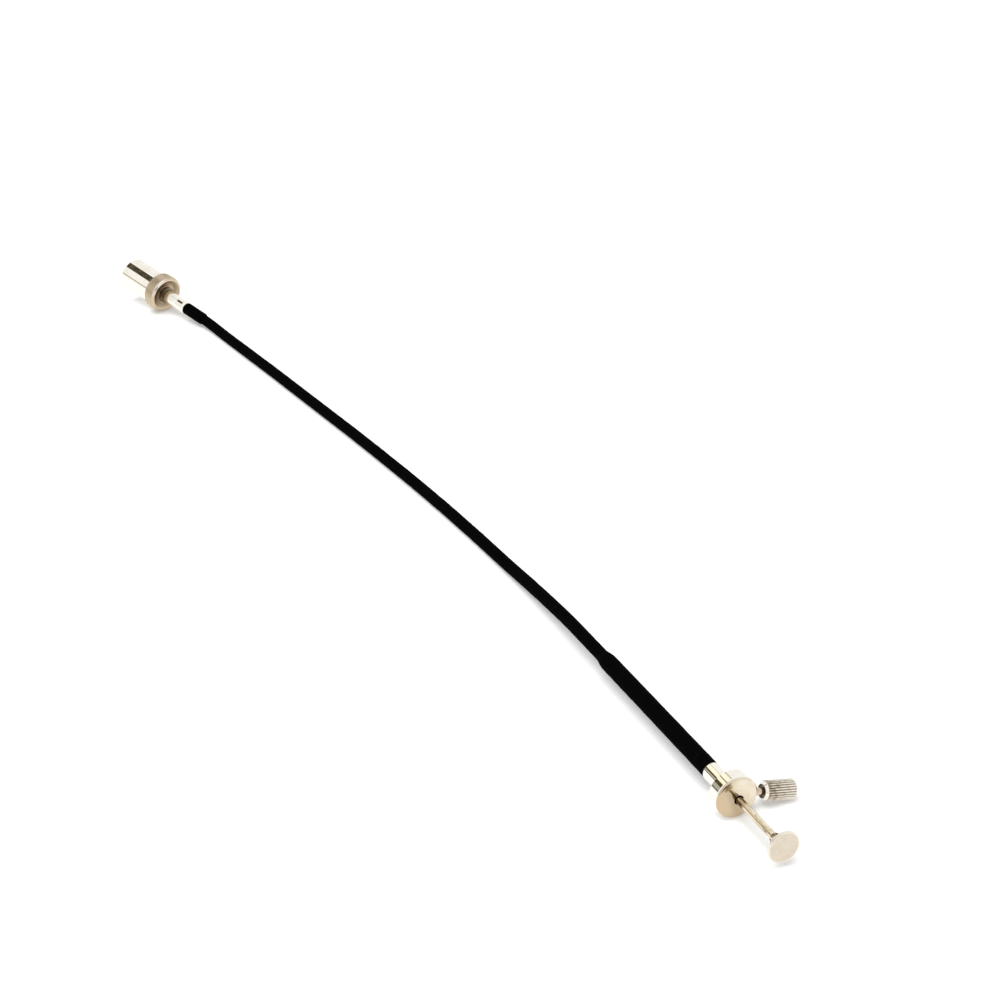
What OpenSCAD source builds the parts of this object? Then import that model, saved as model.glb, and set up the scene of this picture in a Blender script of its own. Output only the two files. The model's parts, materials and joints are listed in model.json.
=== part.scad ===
// Cable shutter release of the bell type.
// The row frame has +Z up and stands on z = 0. The trigger lies along X with its thumb button towards +X.
// Trigger pieces are drawn along their own axis, with 0 at the front edge of the finger plate.
// Bell pieces are drawn along the bell's axis, with 0 at the grip ring's rear rim and the mouth at +.

/* [Finger plate] */
// Diameter of the finger plate
plate_d = 12.2; // [11:0.1:16]
// Thickness of the finger plate at its edge
plate_t = 4; // [3.8:0.1:6]
// Rise of the finger plate's domed face over its edge
plate_dome = 1.3; // [0.6:0.1:2]
// Chamfer on both edges of the finger plate
plate_chamfer = 0.3; // [0.1:0.05:0.6]
// Diameter of the open bore round the rod in the plate's face
plate_bore_d = 2.7; // [2.6:0.1:3.4]
// Depth of the guide tube's seat in the plate's back
plate_seat = 0.8; // [0.4:0.1:0.9]

/* [Plunger] */
// Travel of the plunger and of the release pin
stroke = 15; // [8:0.5:18]
// Room left for a finger's skin between plate and collar when the plunger is home
finger_room = 3.6; // [2:0.1:6]
// Diameter of the plunger rod
rod_d = 2.1; // [1.6:0.1:2.4]
// Diameter of the thumb button
button_d = 8.9; // [7:0.1:14]
// Thickness of the thumb button
button_t = 0.8; // [0.6:0.1:3]
// Diameter of the collar behind the button
collar_d = 2.9; // [2.6:0.1:5]
// Length of the collar behind the button
collar_l = 4.1; // [2:0.1:6]
// Length of the plunger's head in the guide tube
head_l = 3; // [2:0.1:5]
// Length of the bush that guides the rod
bush_l = 4; // [2:0.1:8]

/* [Barrel] */
// Outer diameter of the rigid guide tube
tube_d = 4.2; // [4:0.1:4.4]
// Wall of the guide tube
tube_wall = 0.45; // [0.3:0.05:0.5]
// Thickness of the cloth on the guide tube
barrel_cloth_t = 0.4; // [0.3:0.05:0.5]
// Wall of the polished ferrule where it grips the guide tube
ferrule_rise = 0.55; // [0.52:0.01:1]
// Length of the polished ferrule
ferrule_l = 9; // [6:0.1:14]
// Length of the part of the ferrule that grips the guide tube
ferrule_grip = 3; // [1:0.1:5]
// Wall of the ferrule where the cloth tucks in under it
ferrule_wall = 0.25; // [0.2:0.05:0.3]
// Length of the barrel's cloth from the ferrule to the thin cable
barrel_l = 64; // [50:0.1:90]
// Length over which the barrel's cloth steps down to the cable
shoulder_l = 5.2; // [3:0.1:8]
// Length of the end plug inside the guide tube
plug_l = 7.5; // [5:0.1:10]
// Wire of the return spring
spring_wire = 0.4; // [0.3:0.02:0.5]
// Outer diameter of the return spring
spring_d = 2.8; // [2.6:0.05:3]
// Turns of the return spring
spring_turns = 26; // [14:1:30]

/* [Lock screw] */
// Diameter of the lock screw
lock_d = 2; // [1.4:0.1:2.2]
// Bare length of the lock screw between the plate and its knob
lock_out = 2.6; // [1:0.1:5]
// Rise of the lock screw's thread in one turn
lock_pitch = 0.5; // [0.3:0.05:0.6]
// Diameter of the lock knob over its flutes
knob_d = 5.4; // [4:0.1:7]
// Length of the lock knob
knob_l = 9.6; // [6:0.1:14]
// Flutes round the lock knob
knob_flutes = 24; // [16:1:32]
// Depth of the lock knob's flutes
knob_flute_depth = 0.22; // [0.1:0.02:0.4]
// Depth of the screw in the knob
lock_grip = 4; // [2:0.1:5]

/* [Cable] */
// Outer diameter of the cloth-covered cable
cable_d = 3.8; // [3.6:0.1:4]
// Wall of the cable's cloth
cable_wall = 0.5; // [0.4:0.05:0.55]
// Outer diameter of the wound conduit
conduit_d = 2.5; // [2.2:0.1:2.5]
// Wall of the wound conduit
conduit_wall = 0.45; // [0.3:0.05:0.5]
// Diameter of the core wire
core_d = 1; // [0.6:0.1:1.1]

/* [Neck and tip] */
// Diameter of the neck at its flange
neck_d = 5.2; // [5:0.1:6]
// Diameter of the neck where the cloth begins
neck_end_d = 4.9; // [4.6:0.1:5.2]
// Length of the bare neck behind the bell's rear rim
neck_l = 12.5; // [8:0.1:14]
// Thickness of the cloth on the tip tube
tip_cloth_t = 0.35; // [0.25:0.05:0.5]
// Outer diameter of the rigid tube under the tip's cloth
tip_tube_d = 3.8; // [3.7:0.1:4]
// Length of the neck's spigot in the tip tube
spigot_l = 2.9; // [2:0.1:4]
// Length over which the tip's cloth steps down to the cable
tip_shoulder_l = 1.5; // [1:0.1:3]
// Diameter of the release pin
pin_d = 1.6; // [1.2:0.1:1.8]
// Length of the crimp between core wire and release pin
crimp_l = 3.2; // [2:0.1:5]

/* [Bell] */
// Outer diameter of the bell cup
cup_d = 12.4; // [12.2:0.1:14]
// Length of the whole bell from rear rim to mouth
bell_l = 20.5; // [19:0.1:26]
// Diameter of the bore at the thread's crests
thread_d = 10.5; // [10:0.1:10.8]
// Length of the thread inside the mouth
thread_l = 5.5; // [4:0.1:8]
// Diameter of the relief behind the thread
relief_d = 11; // [10.9:0.1:11.4]
// Diameter of the grip ring over its knurl
ring_d = 14.4; // [14:0.1:18]
// Width of the grip ring
ring_w = 5.2; // [4.4:0.1:8]
// Round on the grip ring's rear rim
rim_round = 0.8; // [0.4:0.1:1.2]
// Knurled teeth round the grip ring
ring_teeth = 72; // [48:1:90]
// Depth of the grip ring's knurl
ring_knurl_depth = 0.16; // [0.08:0.02:0.3]
// Depth of the dished rear face
dish = 1.2; // [0.8:0.1:1.6]
// Wall between the dish and the inside of the bell
bell_wall = 1.2; // [0.8:0.1:2]
// Diameter of the raised boss in the dish
boss_d = 7.8; // [7.4:0.1:9]
// Height of the raised boss
boss_h = 0.6; // [0.3:0.1:0.7]
// Diameter of the flange on the neck
flange_d = 6.4; // [6:0.1:7.2]
// Thickness of the flange on the neck
flange_t = 1; // [0.6:0.1:2]
// Diameter of the journal that the bell turns on
journal_d = 4.4; // [4:0.1:4.8]
// Outer diameter of the ring that keeps the bell on the neck
keeper_d = 7.2; // [6.4:0.1:9]
// Thickness of the ring that keeps the bell on the neck
keeper_t = 1.2; // [0.8:0.1:2]

/* [Fits and pose] */
// Radial clearance of pieces that slide or turn in each other
running = 0.05; // [0.02:0.01:0.08]
// End clearance of pieces that move past each other
end_play = 0.1; // [0.05:0.05:0.3]
// Upward tilt of the bell's mouth in degrees
bell_tilt = 10; // [4:0.5:12]
// Turn of the bell away from the trigger's line in degrees
bell_turn = 22; // [0:0.5:40]

/* [Hidden] */

nickel = "Wheat";
satin_nickel = "Tan";
dark_metal = "DimGray";
brass = "Goldenrod";
steel = "Silver";
cloth = "#1c1a1a";
lathe_fn = 96;
small_fn = 48;
wire_fn = 32;

// Trigger axis: places along it
rod_r = rod_d/2;
axis_z = plate_d/2;
rod_out = stroke + finger_room;
button_back = rod_out + collar_l;
button_face = button_back + button_t;
rivet_l = button_t/2;
tube_id = tube_d - 2*tube_wall;
tube_front = plate_seat - plate_t;
bush_back = tube_front - bush_l;
head_front = bush_back - 2*end_play;
head_back = head_front - head_l;
rod_spigot_d = rod_d*2/3;
rod_spigot_l = head_l*2/3;
ferrule_back = -plate_t - ferrule_l;
cloth_tuck = 0.4;
barrel_end = ferrule_back - barrel_l;
shoulder_start = barrel_end + shoulder_l;
plug_flange = 1.3;
tube_back = shoulder_start + plug_flange;
plug_front = tube_back + plug_l;
conduit_seat = 4;
core_bore_d = core_d + 0.2;
barrel_cloth_d = tube_d + 2*barrel_cloth_t;
ferrule_d = tube_d + 2*ferrule_rise;
conduit_bore_d = conduit_d + 0.04;
cloth_id = cable_d - 2*cable_wall;

// Lock screw: places along its own axis, measured from the rod's axis
lock_z = -plate_t/2;
lock_nip = 0.03;
lock_tip = rod_r + lock_pitch + lock_nip;
lock_dog_l = 0.5;
lock_dog_d = lock_d*0.7;
lock_free = running - 0.02;
knob_face = plate_d/2 + lock_out;
knob_end = knob_face + knob_l;
knob_root_r = knob_d/2 - knob_flute_depth;
knob_bevel = 0.5;
knob_end_chamfer = 0.3;
knob_rim = 0.12;
knob_recess_r = knob_root_r - knob_bevel - knob_rim;
knob_recess = 0.5;
knob_touch = knob_end - knob_end_chamfer;
lock_dip = asin(axis_z/norm([knob_touch, knob_d/2])) - atan(knob_d/2/knob_touch);

// Bell axis: places along it
ring_r = ring_d/2;
wall_front = dish + bell_wall;
boss_face = dish - boss_h;
flange_front = boss_face - end_play;
flange_back = flange_front - flange_t;
keeper_back = wall_front + end_play;
keeper_front = keeper_back + keeper_t;
keeper_id = journal_d - 0.6;
keeper_slot = 0.8;
crimp_d = 2.3;
crimp_bore_d = crimp_d + 2*running;
guide_back = 1;
guide_nose_l = 1.5;
guide_nose = keeper_front + guide_nose_l;
guide_d = crimp_bore_d + 0.2;
pin_front = guide_nose + 2*end_play;
pin_back = guide_back - 5*end_play - stroke;
crimp_back = pin_back - crimp_l;
crimp_room = 1.8;
tip_bore_back = crimp_back - crimp_room;
tip_seat = 2;
tip_tube_back = tip_bore_back - tip_seat;
tip_end = tip_tube_back - tip_shoulder_l;
spigot_d = tip_tube_d - 0.6;
tip_cloth_d = tip_tube_d + 2*tip_cloth_t;
ring_root_r = ring_r - ring_knurl_depth;
rim_flat = 0.15;
dish_rim_r = ring_root_r - rim_round - rim_flat;
dish_floor_d = boss_d + 1.4;
cup_lead = 0.4;

// Where the two ends stand: each hangs on the point where the cable enters it
trigger_exit = [116, 14.4];
bell_exit = [-174.4, -11];
trigger_x = trigger_exit.x - barrel_end;
trigger_y = trigger_exit.y;
bell_yaw = 180 + bell_turn;
bell_dir = [cos(bell_tilt)*cos(bell_yaw), cos(bell_tilt)*sin(bell_yaw), sin(bell_tilt)];
bell_z = (ring_r - rim_round)*cos(bell_tilt) + rim_round*(1 - sin(bell_tilt));
bell_at = [bell_exit.x - tip_end*bell_dir.x, bell_exit.y - tip_end*bell_dir.y, bell_z];

// Route of the free cable, from the barrel to the tip
exit_a = [trigger_exit.x, trigger_exit.y, axis_z];
exit_b = bell_at + tip_end*bell_dir;
cable_points = [
    [112, 14.4, 6.1], [106, 14.4, 6.1], [98, 14.6, 5.8], [90, 14.8, 5.3], [80, 15, 4.5],
    [70, 15.2, 3.6], [60, 15.2, 2.8], [50, 15, 2.2], [40, 14.6, 2], [30, 14.1, 1.9],
    [20, 13.4, 1.9], [10, 12.7, 1.9], [0, 11.8, 1.9], [-10, 10.9, 1.9], [-20, 9.9, 1.9],
    [-30, 8.8, 1.9], [-40, 7.7, 1.9], [-50, 6.5, 1.9], [-60, 5.3, 1.9], [-70, 4, 1.9],
    [-80, 2.7, 1.9], [-90, 1.4, 1.9], [-100, 0.1, 1.9], [-110, -1.2, 1.9], [-120, -2.5, 1.9],
    [-130, -3.9, 1.9], [-140, -5.3, 1.9], [-150, -6.7, 1.9], [-158, -7.8, 1.9], [-164, -8.7, 2.1],
    [-169, -9.6, 2.4],
];
cable_sides = 8;

// Points and sweeps

function unit(v) = v/norm(v);

function length_of(path) =
    len(path) < 2 ? 0 : [for (i = [1:len(path) - 1]) norm(path[i] - path[i - 1])] * [for (i = [1:len(path) - 1]) 1];

// Direction at each point of a path whose two ends have directions of their own
function directions(path, first, last) = [
    for (i = [0:len(path) - 1])
        i == 0 ? first : i == len(path) - 1 ? last : unit(path[i + 1] - path[i - 1])
];

// One ring of corners round a point, square to the direction t; up steadies its turn
function corners(p, t, r, sides, up) =
    let (s = unit(cross(t, up)), u = cross(s, t))
    [for (k = [0:sides - 1]) p + r*(cos(360*k/sides)*s + sin(360*k/sides)*u)];

function rings(path, dirs, r, sides, up) = [
    for (i = [0:len(path) - 1]) each corners(path[i], dirs[i], r, sides, up)
];

// Two triangles for each side between neighbouring rings, starting at corner number at
function skin(count, sides, at, flip) = [
    for (i = [0:count - 2], k = [0:sides - 1])
        let (a = at + i*sides + k, b = at + i*sides + (k + 1)%sides, c = a + sides, d = b + sides)
        each (flip ? [[a, c, b], [b, c, d]] : [[a, b, c], [b, d, c]])
];

// Flat ends of a rod
function cap(sides, at, flip) = [
    for (k = [1:sides - 2]) flip ? [at, at + k, at + k + 1] : [at, at + k + 1, at + k]
];

// Flat ends of a tube, between its outer ring at a0 and its inner ring at b0
function lip(sides, a0, b0, flip) = [
    for (k = [0:sides - 1])
        let (a = a0 + k, b = a0 + (k + 1)%sides, c = b0 + k, d = b0 + (k + 1)%sides)
        each (flip ? [[a, b, c], [b, d, c]] : [[a, c, b], [b, c, d]])
];

module swept_rod(path, dirs, r, sides, up) {
    n = len(path);
    polyhedron(
        points = rings(path, dirs, r, sides, up),
        faces = concat(skin(n, sides, 0, false), cap(sides, 0, false), cap(sides, (n - 1)*sides, true))
    );
}

module swept_tube(path, dirs, r, inner_r, sides, up) {
    n = len(path);
    m = n*sides;
    polyhedron(
        points = concat(rings(path, dirs, r, sides, up), rings(path, dirs, inner_r, sides, up)),
        faces = concat(
            skin(n, sides, 0, false), skin(n, sides, m, true),
            lip(sides, 0, m, false), lip(sides, m - sides, 2*m - sides, true)
        )
    );
}

function cable_path() = concat([exit_a], cable_points, [exit_b]);

// The conduit and the core run on past the cloth, straight into the barrel and the tip
function inner_path(trigger_place, bell_place) = concat(
    [[trigger_x + trigger_place, trigger_y, axis_z]], cable_path(), [bell_at + bell_place*bell_dir]
);

// Frames

module on_trigger() {
    translate([trigger_x, trigger_y, axis_z]) rotate([0, 90, 0]) children();
}

module on_lock() {
    on_trigger() translate([0, 0, lock_z]) rotate([0, 0, -lock_dip]) rotate([-90, 0, 0]) children();
}

module on_bell() {
    translate(bell_at) rotate([0, 90 - bell_tilt, bell_yaw]) children();
}

// A lathe-turned solid from [radius, place along the axis] corners
module turned(profile, fn = lathe_fn) {
    rotate_extrude($fn = fn) polygon(profile);
}

module rod_between(a, b, d, fn = small_fn) {
    translate([0, 0, a]) cylinder(h = b - a, d = d, $fn = fn);
}

module tube_between(a, b, d, bore, fn = small_fn) {
    turned([[bore/2, a], [d/2, a], [d/2, b], [bore/2, b]], fn);
}

// Straight knurl: teeth with flat tops and V grooves between them, cut a little below the depth that shows
knurl_bite = 0.04;
knurl_run_out = 0.12;
module knurled_bar(a, b, d, teeth, depth) {
    step = 360/teeth;
    outline = [
        for (i = [0:teeth - 1], c = [[0, -depth - knurl_bite], [0.3, 0], [0.7, 0]])
            (d/2 + c[1])*[cos(step*(i + c[0])), sin(step*(i + c[0]))]
    ];
    translate([0, 0, a]) linear_extrude(b - a) polygon(outline);
}

// Trigger

module thumb_button() {
    edge = button_t/4;
    color(satin_nickel) on_trigger() turned([
        [0, button_back + rivet_l], [rod_r, button_back + rivet_l], [rod_r, button_back],
        [button_d/2 - edge, button_back], [button_d/2, button_back + edge],
        [button_d/2, button_face - edge/2], [button_d/2 - edge/2, button_face], [0, button_face],
    ]);
}

module button_collar() {
    groove = collar_l/6;
    neck_r = (collar_d/2 + rod_r)/2;
    color(nickel) on_trigger() turned([
        [rod_r, rod_out], [neck_r, rod_out], [collar_d/2, rod_out + groove/2],
        [collar_d/2, rod_out + 2*groove], [neck_r, rod_out + 2.5*groove], [neck_r, rod_out + 3*groove],
        [collar_d/2, rod_out + 3.5*groove], [collar_d/2, button_back], [rod_r, button_back],
    ]);
}

module plunger_rod() {
    color(nickel) on_trigger() {
        rod_between(head_front, button_back + rivet_l, rod_d);
        rod_between(head_front - rod_spigot_l, head_front, rod_spigot_d);
    }
}

module plunger_head() {
    color(brass) on_trigger() difference() {
        rod_between(head_back, head_front, tube_id - 2*running);
        rod_between(head_front - rod_spigot_l, head_front + 1, rod_spigot_d);
    }
}

// Points of a domed face from its edge in to its bore
function dome(edge_r, bore_r, rise, steps = 12) =
    let (ball = (edge_r*edge_r + rise*rise)/(2*rise))
    [for (i = [0:steps]) let (r = edge_r + (bore_r - edge_r)*i/steps) [r, sqrt(ball*ball - r*r) - ball + rise]];

module finger_plate() {
    c = plate_chamfer;
    r = plate_d/2;
    color(nickel) difference() {
        on_trigger() turned(concat(
            [[plate_bore_d/2, tube_front], [tube_d/2, tube_front], [tube_d/2, -plate_t]],
            [[r - c, -plate_t], [r, c - plate_t], [r, -c]], dome(r - c, plate_bore_d/2, plate_dome)
        ));
        on_lock() rod_between(plate_bore_d/4, r + 1, lock_d + 2*running);
    }
}

module rod_bush() {
    color(dark_metal) on_trigger() tube_between(bush_back, tube_front, tube_id, rod_d + 2*running);
}

module barrel_ferrule() {
    grip_end = -plate_t - ferrule_grip;
    pocket_r = ferrule_d/2 - ferrule_wall;
    round_off = ferrule_wall/2;
    color(nickel) on_trigger() turned([
        [tube_d/2, -plate_t], [ferrule_d/2, -plate_t], [ferrule_d/2, ferrule_back + round_off],
        [ferrule_d/2 - round_off, ferrule_back], [pocket_r, ferrule_back],
        [pocket_r, grip_end], [tube_d/2, grip_end],
    ]);
}

module guide_tube() {
    color(brass) on_trigger() tube_between(tube_back, tube_front, tube_d, tube_id);
}

// Cloth that lies on a rigid tube and steps down to the thin cable in a smooth shoulder
function shoulder(a, b, r_a, r_b, steps = 8) = [
    for (i = [0:steps]) let (t = i/steps) [r_a + (r_b - r_a)*(1 - cos(180*t))/2, a + (b - a)*t]
];

module barrel_cloth() {
    tucked_r = ferrule_d/2 - ferrule_wall;
    tuck_front = -plate_t - ferrule_grip - cloth_tuck;
    color(cloth) on_trigger() turned(concat(
        [[tube_d/2, tuck_front], [tucked_r, tuck_front], [tucked_r, ferrule_back], [barrel_cloth_d/2, ferrule_back]],
        shoulder(shoulder_start, barrel_end, barrel_cloth_d/2, cable_d/2),
        [[conduit_bore_d/2, barrel_end], [conduit_bore_d/2, shoulder_start], [tube_d/2, shoulder_start]]
    ));
}

module end_plug() {
    seat = shoulder_start + conduit_seat;
    color(brass) on_trigger() turned([
        [core_bore_d/2, plug_front], [tube_id/2, plug_front], [tube_id/2, tube_back], [tube_d/2, tube_back],
        [tube_d/2, shoulder_start], [conduit_bore_d/2, shoulder_start], [conduit_bore_d/2, seat],
        [core_bore_d/2, seat],
    ]);
}

spring_end = head_back - spring_wire/2 - end_play/5;
spring_start = plug_front + spring_wire/2 + end_play/5;
spring_pitch = (spring_end - spring_start)/spring_turns;
spring_steps = 8;
spring_sides = 6;
spring_r = (spring_d - spring_wire)/2;
function coil_point(a) = [spring_r*cos(a), spring_r*sin(a), spring_start + spring_pitch*a/360];
function coil_dir(a) = unit([-spring_r*sin(a), spring_r*cos(a), spring_pitch/(2*PI)]);

module return_spring() {
    turns = [for (i = [0:spring_turns*spring_steps]) 360*i/spring_steps];
    color(steel) on_trigger() swept_rod(
        [for (a = turns) coil_point(a)], [for (a = turns) coil_dir(a)], spring_wire/2, spring_sides, [0, 0, 1]
    );
}

// Lock screw

module lock_screw() {
    color(steel) on_lock() {
        rod_between(lock_tip, lock_tip + lock_dog_l, lock_dog_d);
        rod_between(lock_tip + lock_dog_l, knob_face + lock_grip - end_play, lock_d);
    }
}

module lock_knob() {
    bore_d = lock_d + 2*lock_free;
    color(nickel) on_lock() difference() {
        union() {
            turned([
                [0, knob_face], [knob_root_r - knob_bevel, knob_face], [knob_root_r, knob_face + knob_bevel],
                [knob_root_r, knob_end - knob_end_chamfer], [knob_root_r - knob_end_chamfer, knob_end],
                [0, knob_end],
            ]);
            knurled_bar(
                knob_face + knob_bevel + knurl_run_out, knob_end - knob_end_chamfer - knurl_run_out,
                knob_d, knob_flutes, knob_flute_depth
            );
        }
        rod_between(knob_face - 1, knob_face + knob_recess, 2*knob_recess_r);
        rod_between(knob_face - 1, knob_face + lock_grip, bore_d);
    }
}

// Cable

module cable_cloth() {
    path = cable_path();
    color(cloth) swept_tube(
        path, directions(path, [-1, 0, 0], bell_dir), cable_d/2, cloth_id/2, cable_sides, [0, 0, 1]
    );
}

module conduit() {
    path = inner_path(shoulder_start + conduit_seat, tip_bore_back);
    color(steel) swept_tube(
        path, directions(path, [-1, 0, 0], bell_dir), conduit_d/2, conduit_d/2 - conduit_wall, cable_sides, [0, 0, 1]
    );
}

module core_wire() {
    path = inner_path(head_back, crimp_back);
    color(dark_metal) swept_rod(
        path, directions(path, [-1, 0, 0], bell_dir), core_d/2, cable_sides, [0, 0, 1]
    );
}

// Neck and tip

module tip_cloth() {
    color(cloth) on_bell() turned(concat(
        [[tip_tube_d/2, -neck_l], [tip_cloth_d/2, -neck_l]],
        shoulder(tip_tube_back, tip_end, tip_cloth_d/2, cable_d/2),
        [[conduit_bore_d/2, tip_end], [conduit_bore_d/2, tip_tube_back], [tip_tube_d/2, tip_tube_back]]
    ));
}

module tip_tube() {
    spigot_back = -neck_l - spigot_l;
    color(brass) on_bell() turned([
        [spigot_d/2, -neck_l], [tip_tube_d/2, -neck_l], [tip_tube_d/2, tip_tube_back],
        [conduit_bore_d/2, tip_tube_back], [conduit_bore_d/2, tip_bore_back],
        [crimp_bore_d/2, tip_bore_back], [crimp_bore_d/2, spigot_back], [spigot_d/2, spigot_back],
    ]);
}

module neck_stem() {
    color(nickel) on_bell() turned([
        [crimp_bore_d/2, -neck_l - spigot_l], [spigot_d/2, -neck_l - spigot_l], [spigot_d/2, -neck_l],
        [neck_end_d/2, -neck_l], [neck_d/2, flange_back], [flange_d/2, flange_back],
        [flange_d/2, flange_front], [journal_d/2, flange_front], [journal_d/2, keeper_back],
        [keeper_id/2, keeper_back], [keeper_id/2, keeper_front],
        [guide_d/2, keeper_front], [guide_d/2, guide_back], [crimp_bore_d/2, guide_back],
    ]);
}

module pin_guide() {
    nose = guide_d/2 - 0.2;
    color(brass) on_bell() turned([
        [pin_d/2 + running, guide_back], [guide_d/2, guide_back], [guide_d/2, keeper_front],
        [nose, guide_nose], [pin_d/2 + running, guide_nose],
    ]);
}

module keeper_ring() {
    color(satin_nickel) on_bell() difference() {
        tube_between(keeper_back, keeper_front, keeper_d, keeper_id);
        for (side = [0, 180])
            rotate([0, 0, side])
                translate([keeper_d/2 - keeper_slot, -keeper_slot/2, keeper_front - keeper_slot])
                    cube([2*keeper_slot, keeper_slot, 2*keeper_slot]);
    }
}

// Bell

module bell_cup() {
    r = cup_d/2;
    thread_back = bell_l - thread_l;
    color(nickel) on_bell() turned([
        [relief_d/2, wall_front], [r, wall_front], [r, bell_l - cup_lead/2], [r - cup_lead/2, bell_l],
        [thread_d/2 + cup_lead, bell_l], [thread_d/2, bell_l - cup_lead], [thread_d/2, thread_back],
        [relief_d/2, thread_back - cup_lead],
    ]);
}

// The rear rim is round, and the rear face dishes in to a raised boss round the neck
module grip_ring() {
    round_steps = 6;
    rim = [
        for (i = [0:round_steps]) let (a = 90*i/round_steps)
            [ring_root_r - rim_round*(1 - sin(a)), rim_round*(1 - cos(a))]
    ];
    front = 0.3;
    hole_r = journal_d/2 + running;
    color(satin_nickel) on_bell() {
        turned(concat(
            [[dish_floor_d/2, dish], [dish_rim_r, 0]], rim,
            [[ring_root_r, ring_w - front], [ring_root_r - front, ring_w], [cup_d/2, ring_w], [cup_d/2, wall_front]],
            [[hole_r, wall_front], [hole_r, boss_face], [boss_d/2, boss_face], [boss_d/2, dish]]
        ));
        difference() {
            knurled_bar(
                rim_round + knurl_run_out, ring_w - front - knurl_run_out, ring_d, ring_teeth, ring_knurl_depth
            );
            rod_between(0, ring_w, ring_root_r + cup_d/2, lathe_fn);
        }
    }
}

module release_pin() {
    tip = pin_d/4;
    color(steel) on_bell() turned([
        [0, pin_back], [pin_d/2, pin_back], [pin_d/2, pin_front - tip], [pin_d/2 - tip/2, pin_front], [0, pin_front],
    ], small_fn);
}

module wire_crimp() {
    color(brass) on_bell() rod_between(crimp_back, pin_back, crimp_d);
}

echo(free_cable_mm = length_of(cable_path()));
echo(spring_gap_mm = spring_pitch - spring_wire, spring_pressed_gap_mm = spring_pitch - stroke/spring_turns - spring_wire);
echo(bell_at = bell_at, bell_dir = bell_dir, lock_dip = lock_dip, trigger_x = trigger_x, button_face = button_face);
echo(tip_end = tip_end, exit_b = exit_b);

thumb_button();
button_collar();
plunger_rod();
plunger_head();
finger_plate();
rod_bush();
barrel_ferrule();
guide_tube();
barrel_cloth();
end_plug();
return_spring();
lock_screw();
lock_knob();
cable_cloth();
conduit();
core_wire();
tip_cloth();
tip_tube();
neck_stem();
pin_guide();
keeper_ring();
bell_cup();
grip_ring();
release_pin();
wire_crimp();
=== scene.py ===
"""Blender model of a bell-type cable shutter release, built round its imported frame.

Run as a script it makes the stage and every piece. Its panel lists the same operators one by one.
"""

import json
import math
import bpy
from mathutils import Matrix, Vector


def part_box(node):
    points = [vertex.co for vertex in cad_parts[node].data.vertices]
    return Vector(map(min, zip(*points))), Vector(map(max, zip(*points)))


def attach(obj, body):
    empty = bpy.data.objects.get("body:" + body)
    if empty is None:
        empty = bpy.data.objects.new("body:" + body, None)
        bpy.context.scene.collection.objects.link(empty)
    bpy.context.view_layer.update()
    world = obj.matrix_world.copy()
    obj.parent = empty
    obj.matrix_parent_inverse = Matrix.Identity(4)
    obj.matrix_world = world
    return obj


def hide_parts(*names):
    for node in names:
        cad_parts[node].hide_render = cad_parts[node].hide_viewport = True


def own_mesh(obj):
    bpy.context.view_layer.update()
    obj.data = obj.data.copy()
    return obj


bl_info = {
    "name": "Cable Shutter Release",
    "version": (1, 0, 0),
    "blender": (4, 5, 0),
    "location": "3D View > Sidebar > Release",
    "description": "Builds a cable release with a thumb plunger, a lock screw and a screw-over bell",
    "category": "Add Mesh",
}

import bpy
from bpy.props import FloatProperty, FloatVectorProperty, IntProperty, PointerProperty
from mathutils import Matrix, Vector, noise

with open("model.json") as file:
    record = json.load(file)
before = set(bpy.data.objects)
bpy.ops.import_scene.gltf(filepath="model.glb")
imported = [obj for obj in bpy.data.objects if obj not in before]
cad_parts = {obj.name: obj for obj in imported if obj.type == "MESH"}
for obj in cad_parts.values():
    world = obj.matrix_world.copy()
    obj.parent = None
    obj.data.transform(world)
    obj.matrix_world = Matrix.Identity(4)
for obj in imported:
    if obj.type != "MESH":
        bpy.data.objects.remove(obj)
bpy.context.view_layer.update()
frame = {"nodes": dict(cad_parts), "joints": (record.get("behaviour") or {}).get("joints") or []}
MM = 0.001
JOINTS = {joint["name"]: joint for joint in frame["joints"]}


def axis_frame(place, direction):
    """Matrix that carries a piece drawn along Z to a place, pointing in a direction."""
    turn_to = Vector(direction).to_track_quat("Z", "Y")
    return Matrix.Translation(place) @ turn_to.to_matrix().to_4x4()


PLATE_LOW, PLATE_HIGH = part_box("finger_plate")
PLATE_CENTRE = (PLATE_LOW + PLATE_HIGH) / 2
PLATE_THICKNESS = 4
TRIGGER = axis_frame((PLATE_LOW.x + PLATE_THICKNESS * MM, PLATE_CENTRE.y, PLATE_CENTRE.z), (1, 0, 0))
BELL = axis_frame(JOINTS["bell_turn"]["pos_m"], JOINTS["bell_turn"]["axis"])
LOCK = axis_frame(JOINTS["lock_turn"]["pos_m"], [-x for x in JOINTS["lock_turn"]["axis"]])
TRIGGER_DIR = TRIGGER.to_3x3() @ Vector((0, 0, 1))
BELL_DIR = BELL.to_3x3() @ Vector((0, 0, 1))

# Hidden places on the axis of the trigger and on that of the bell, in millimetres
PISTON_BACK, PLUG_FRONT, PLUG_MIDDLE = -10.4, -63.0, -67.8
CRIMP_MIDDLE, TIP_TUBE_MIDDLE = -17.7, -19.5

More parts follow.
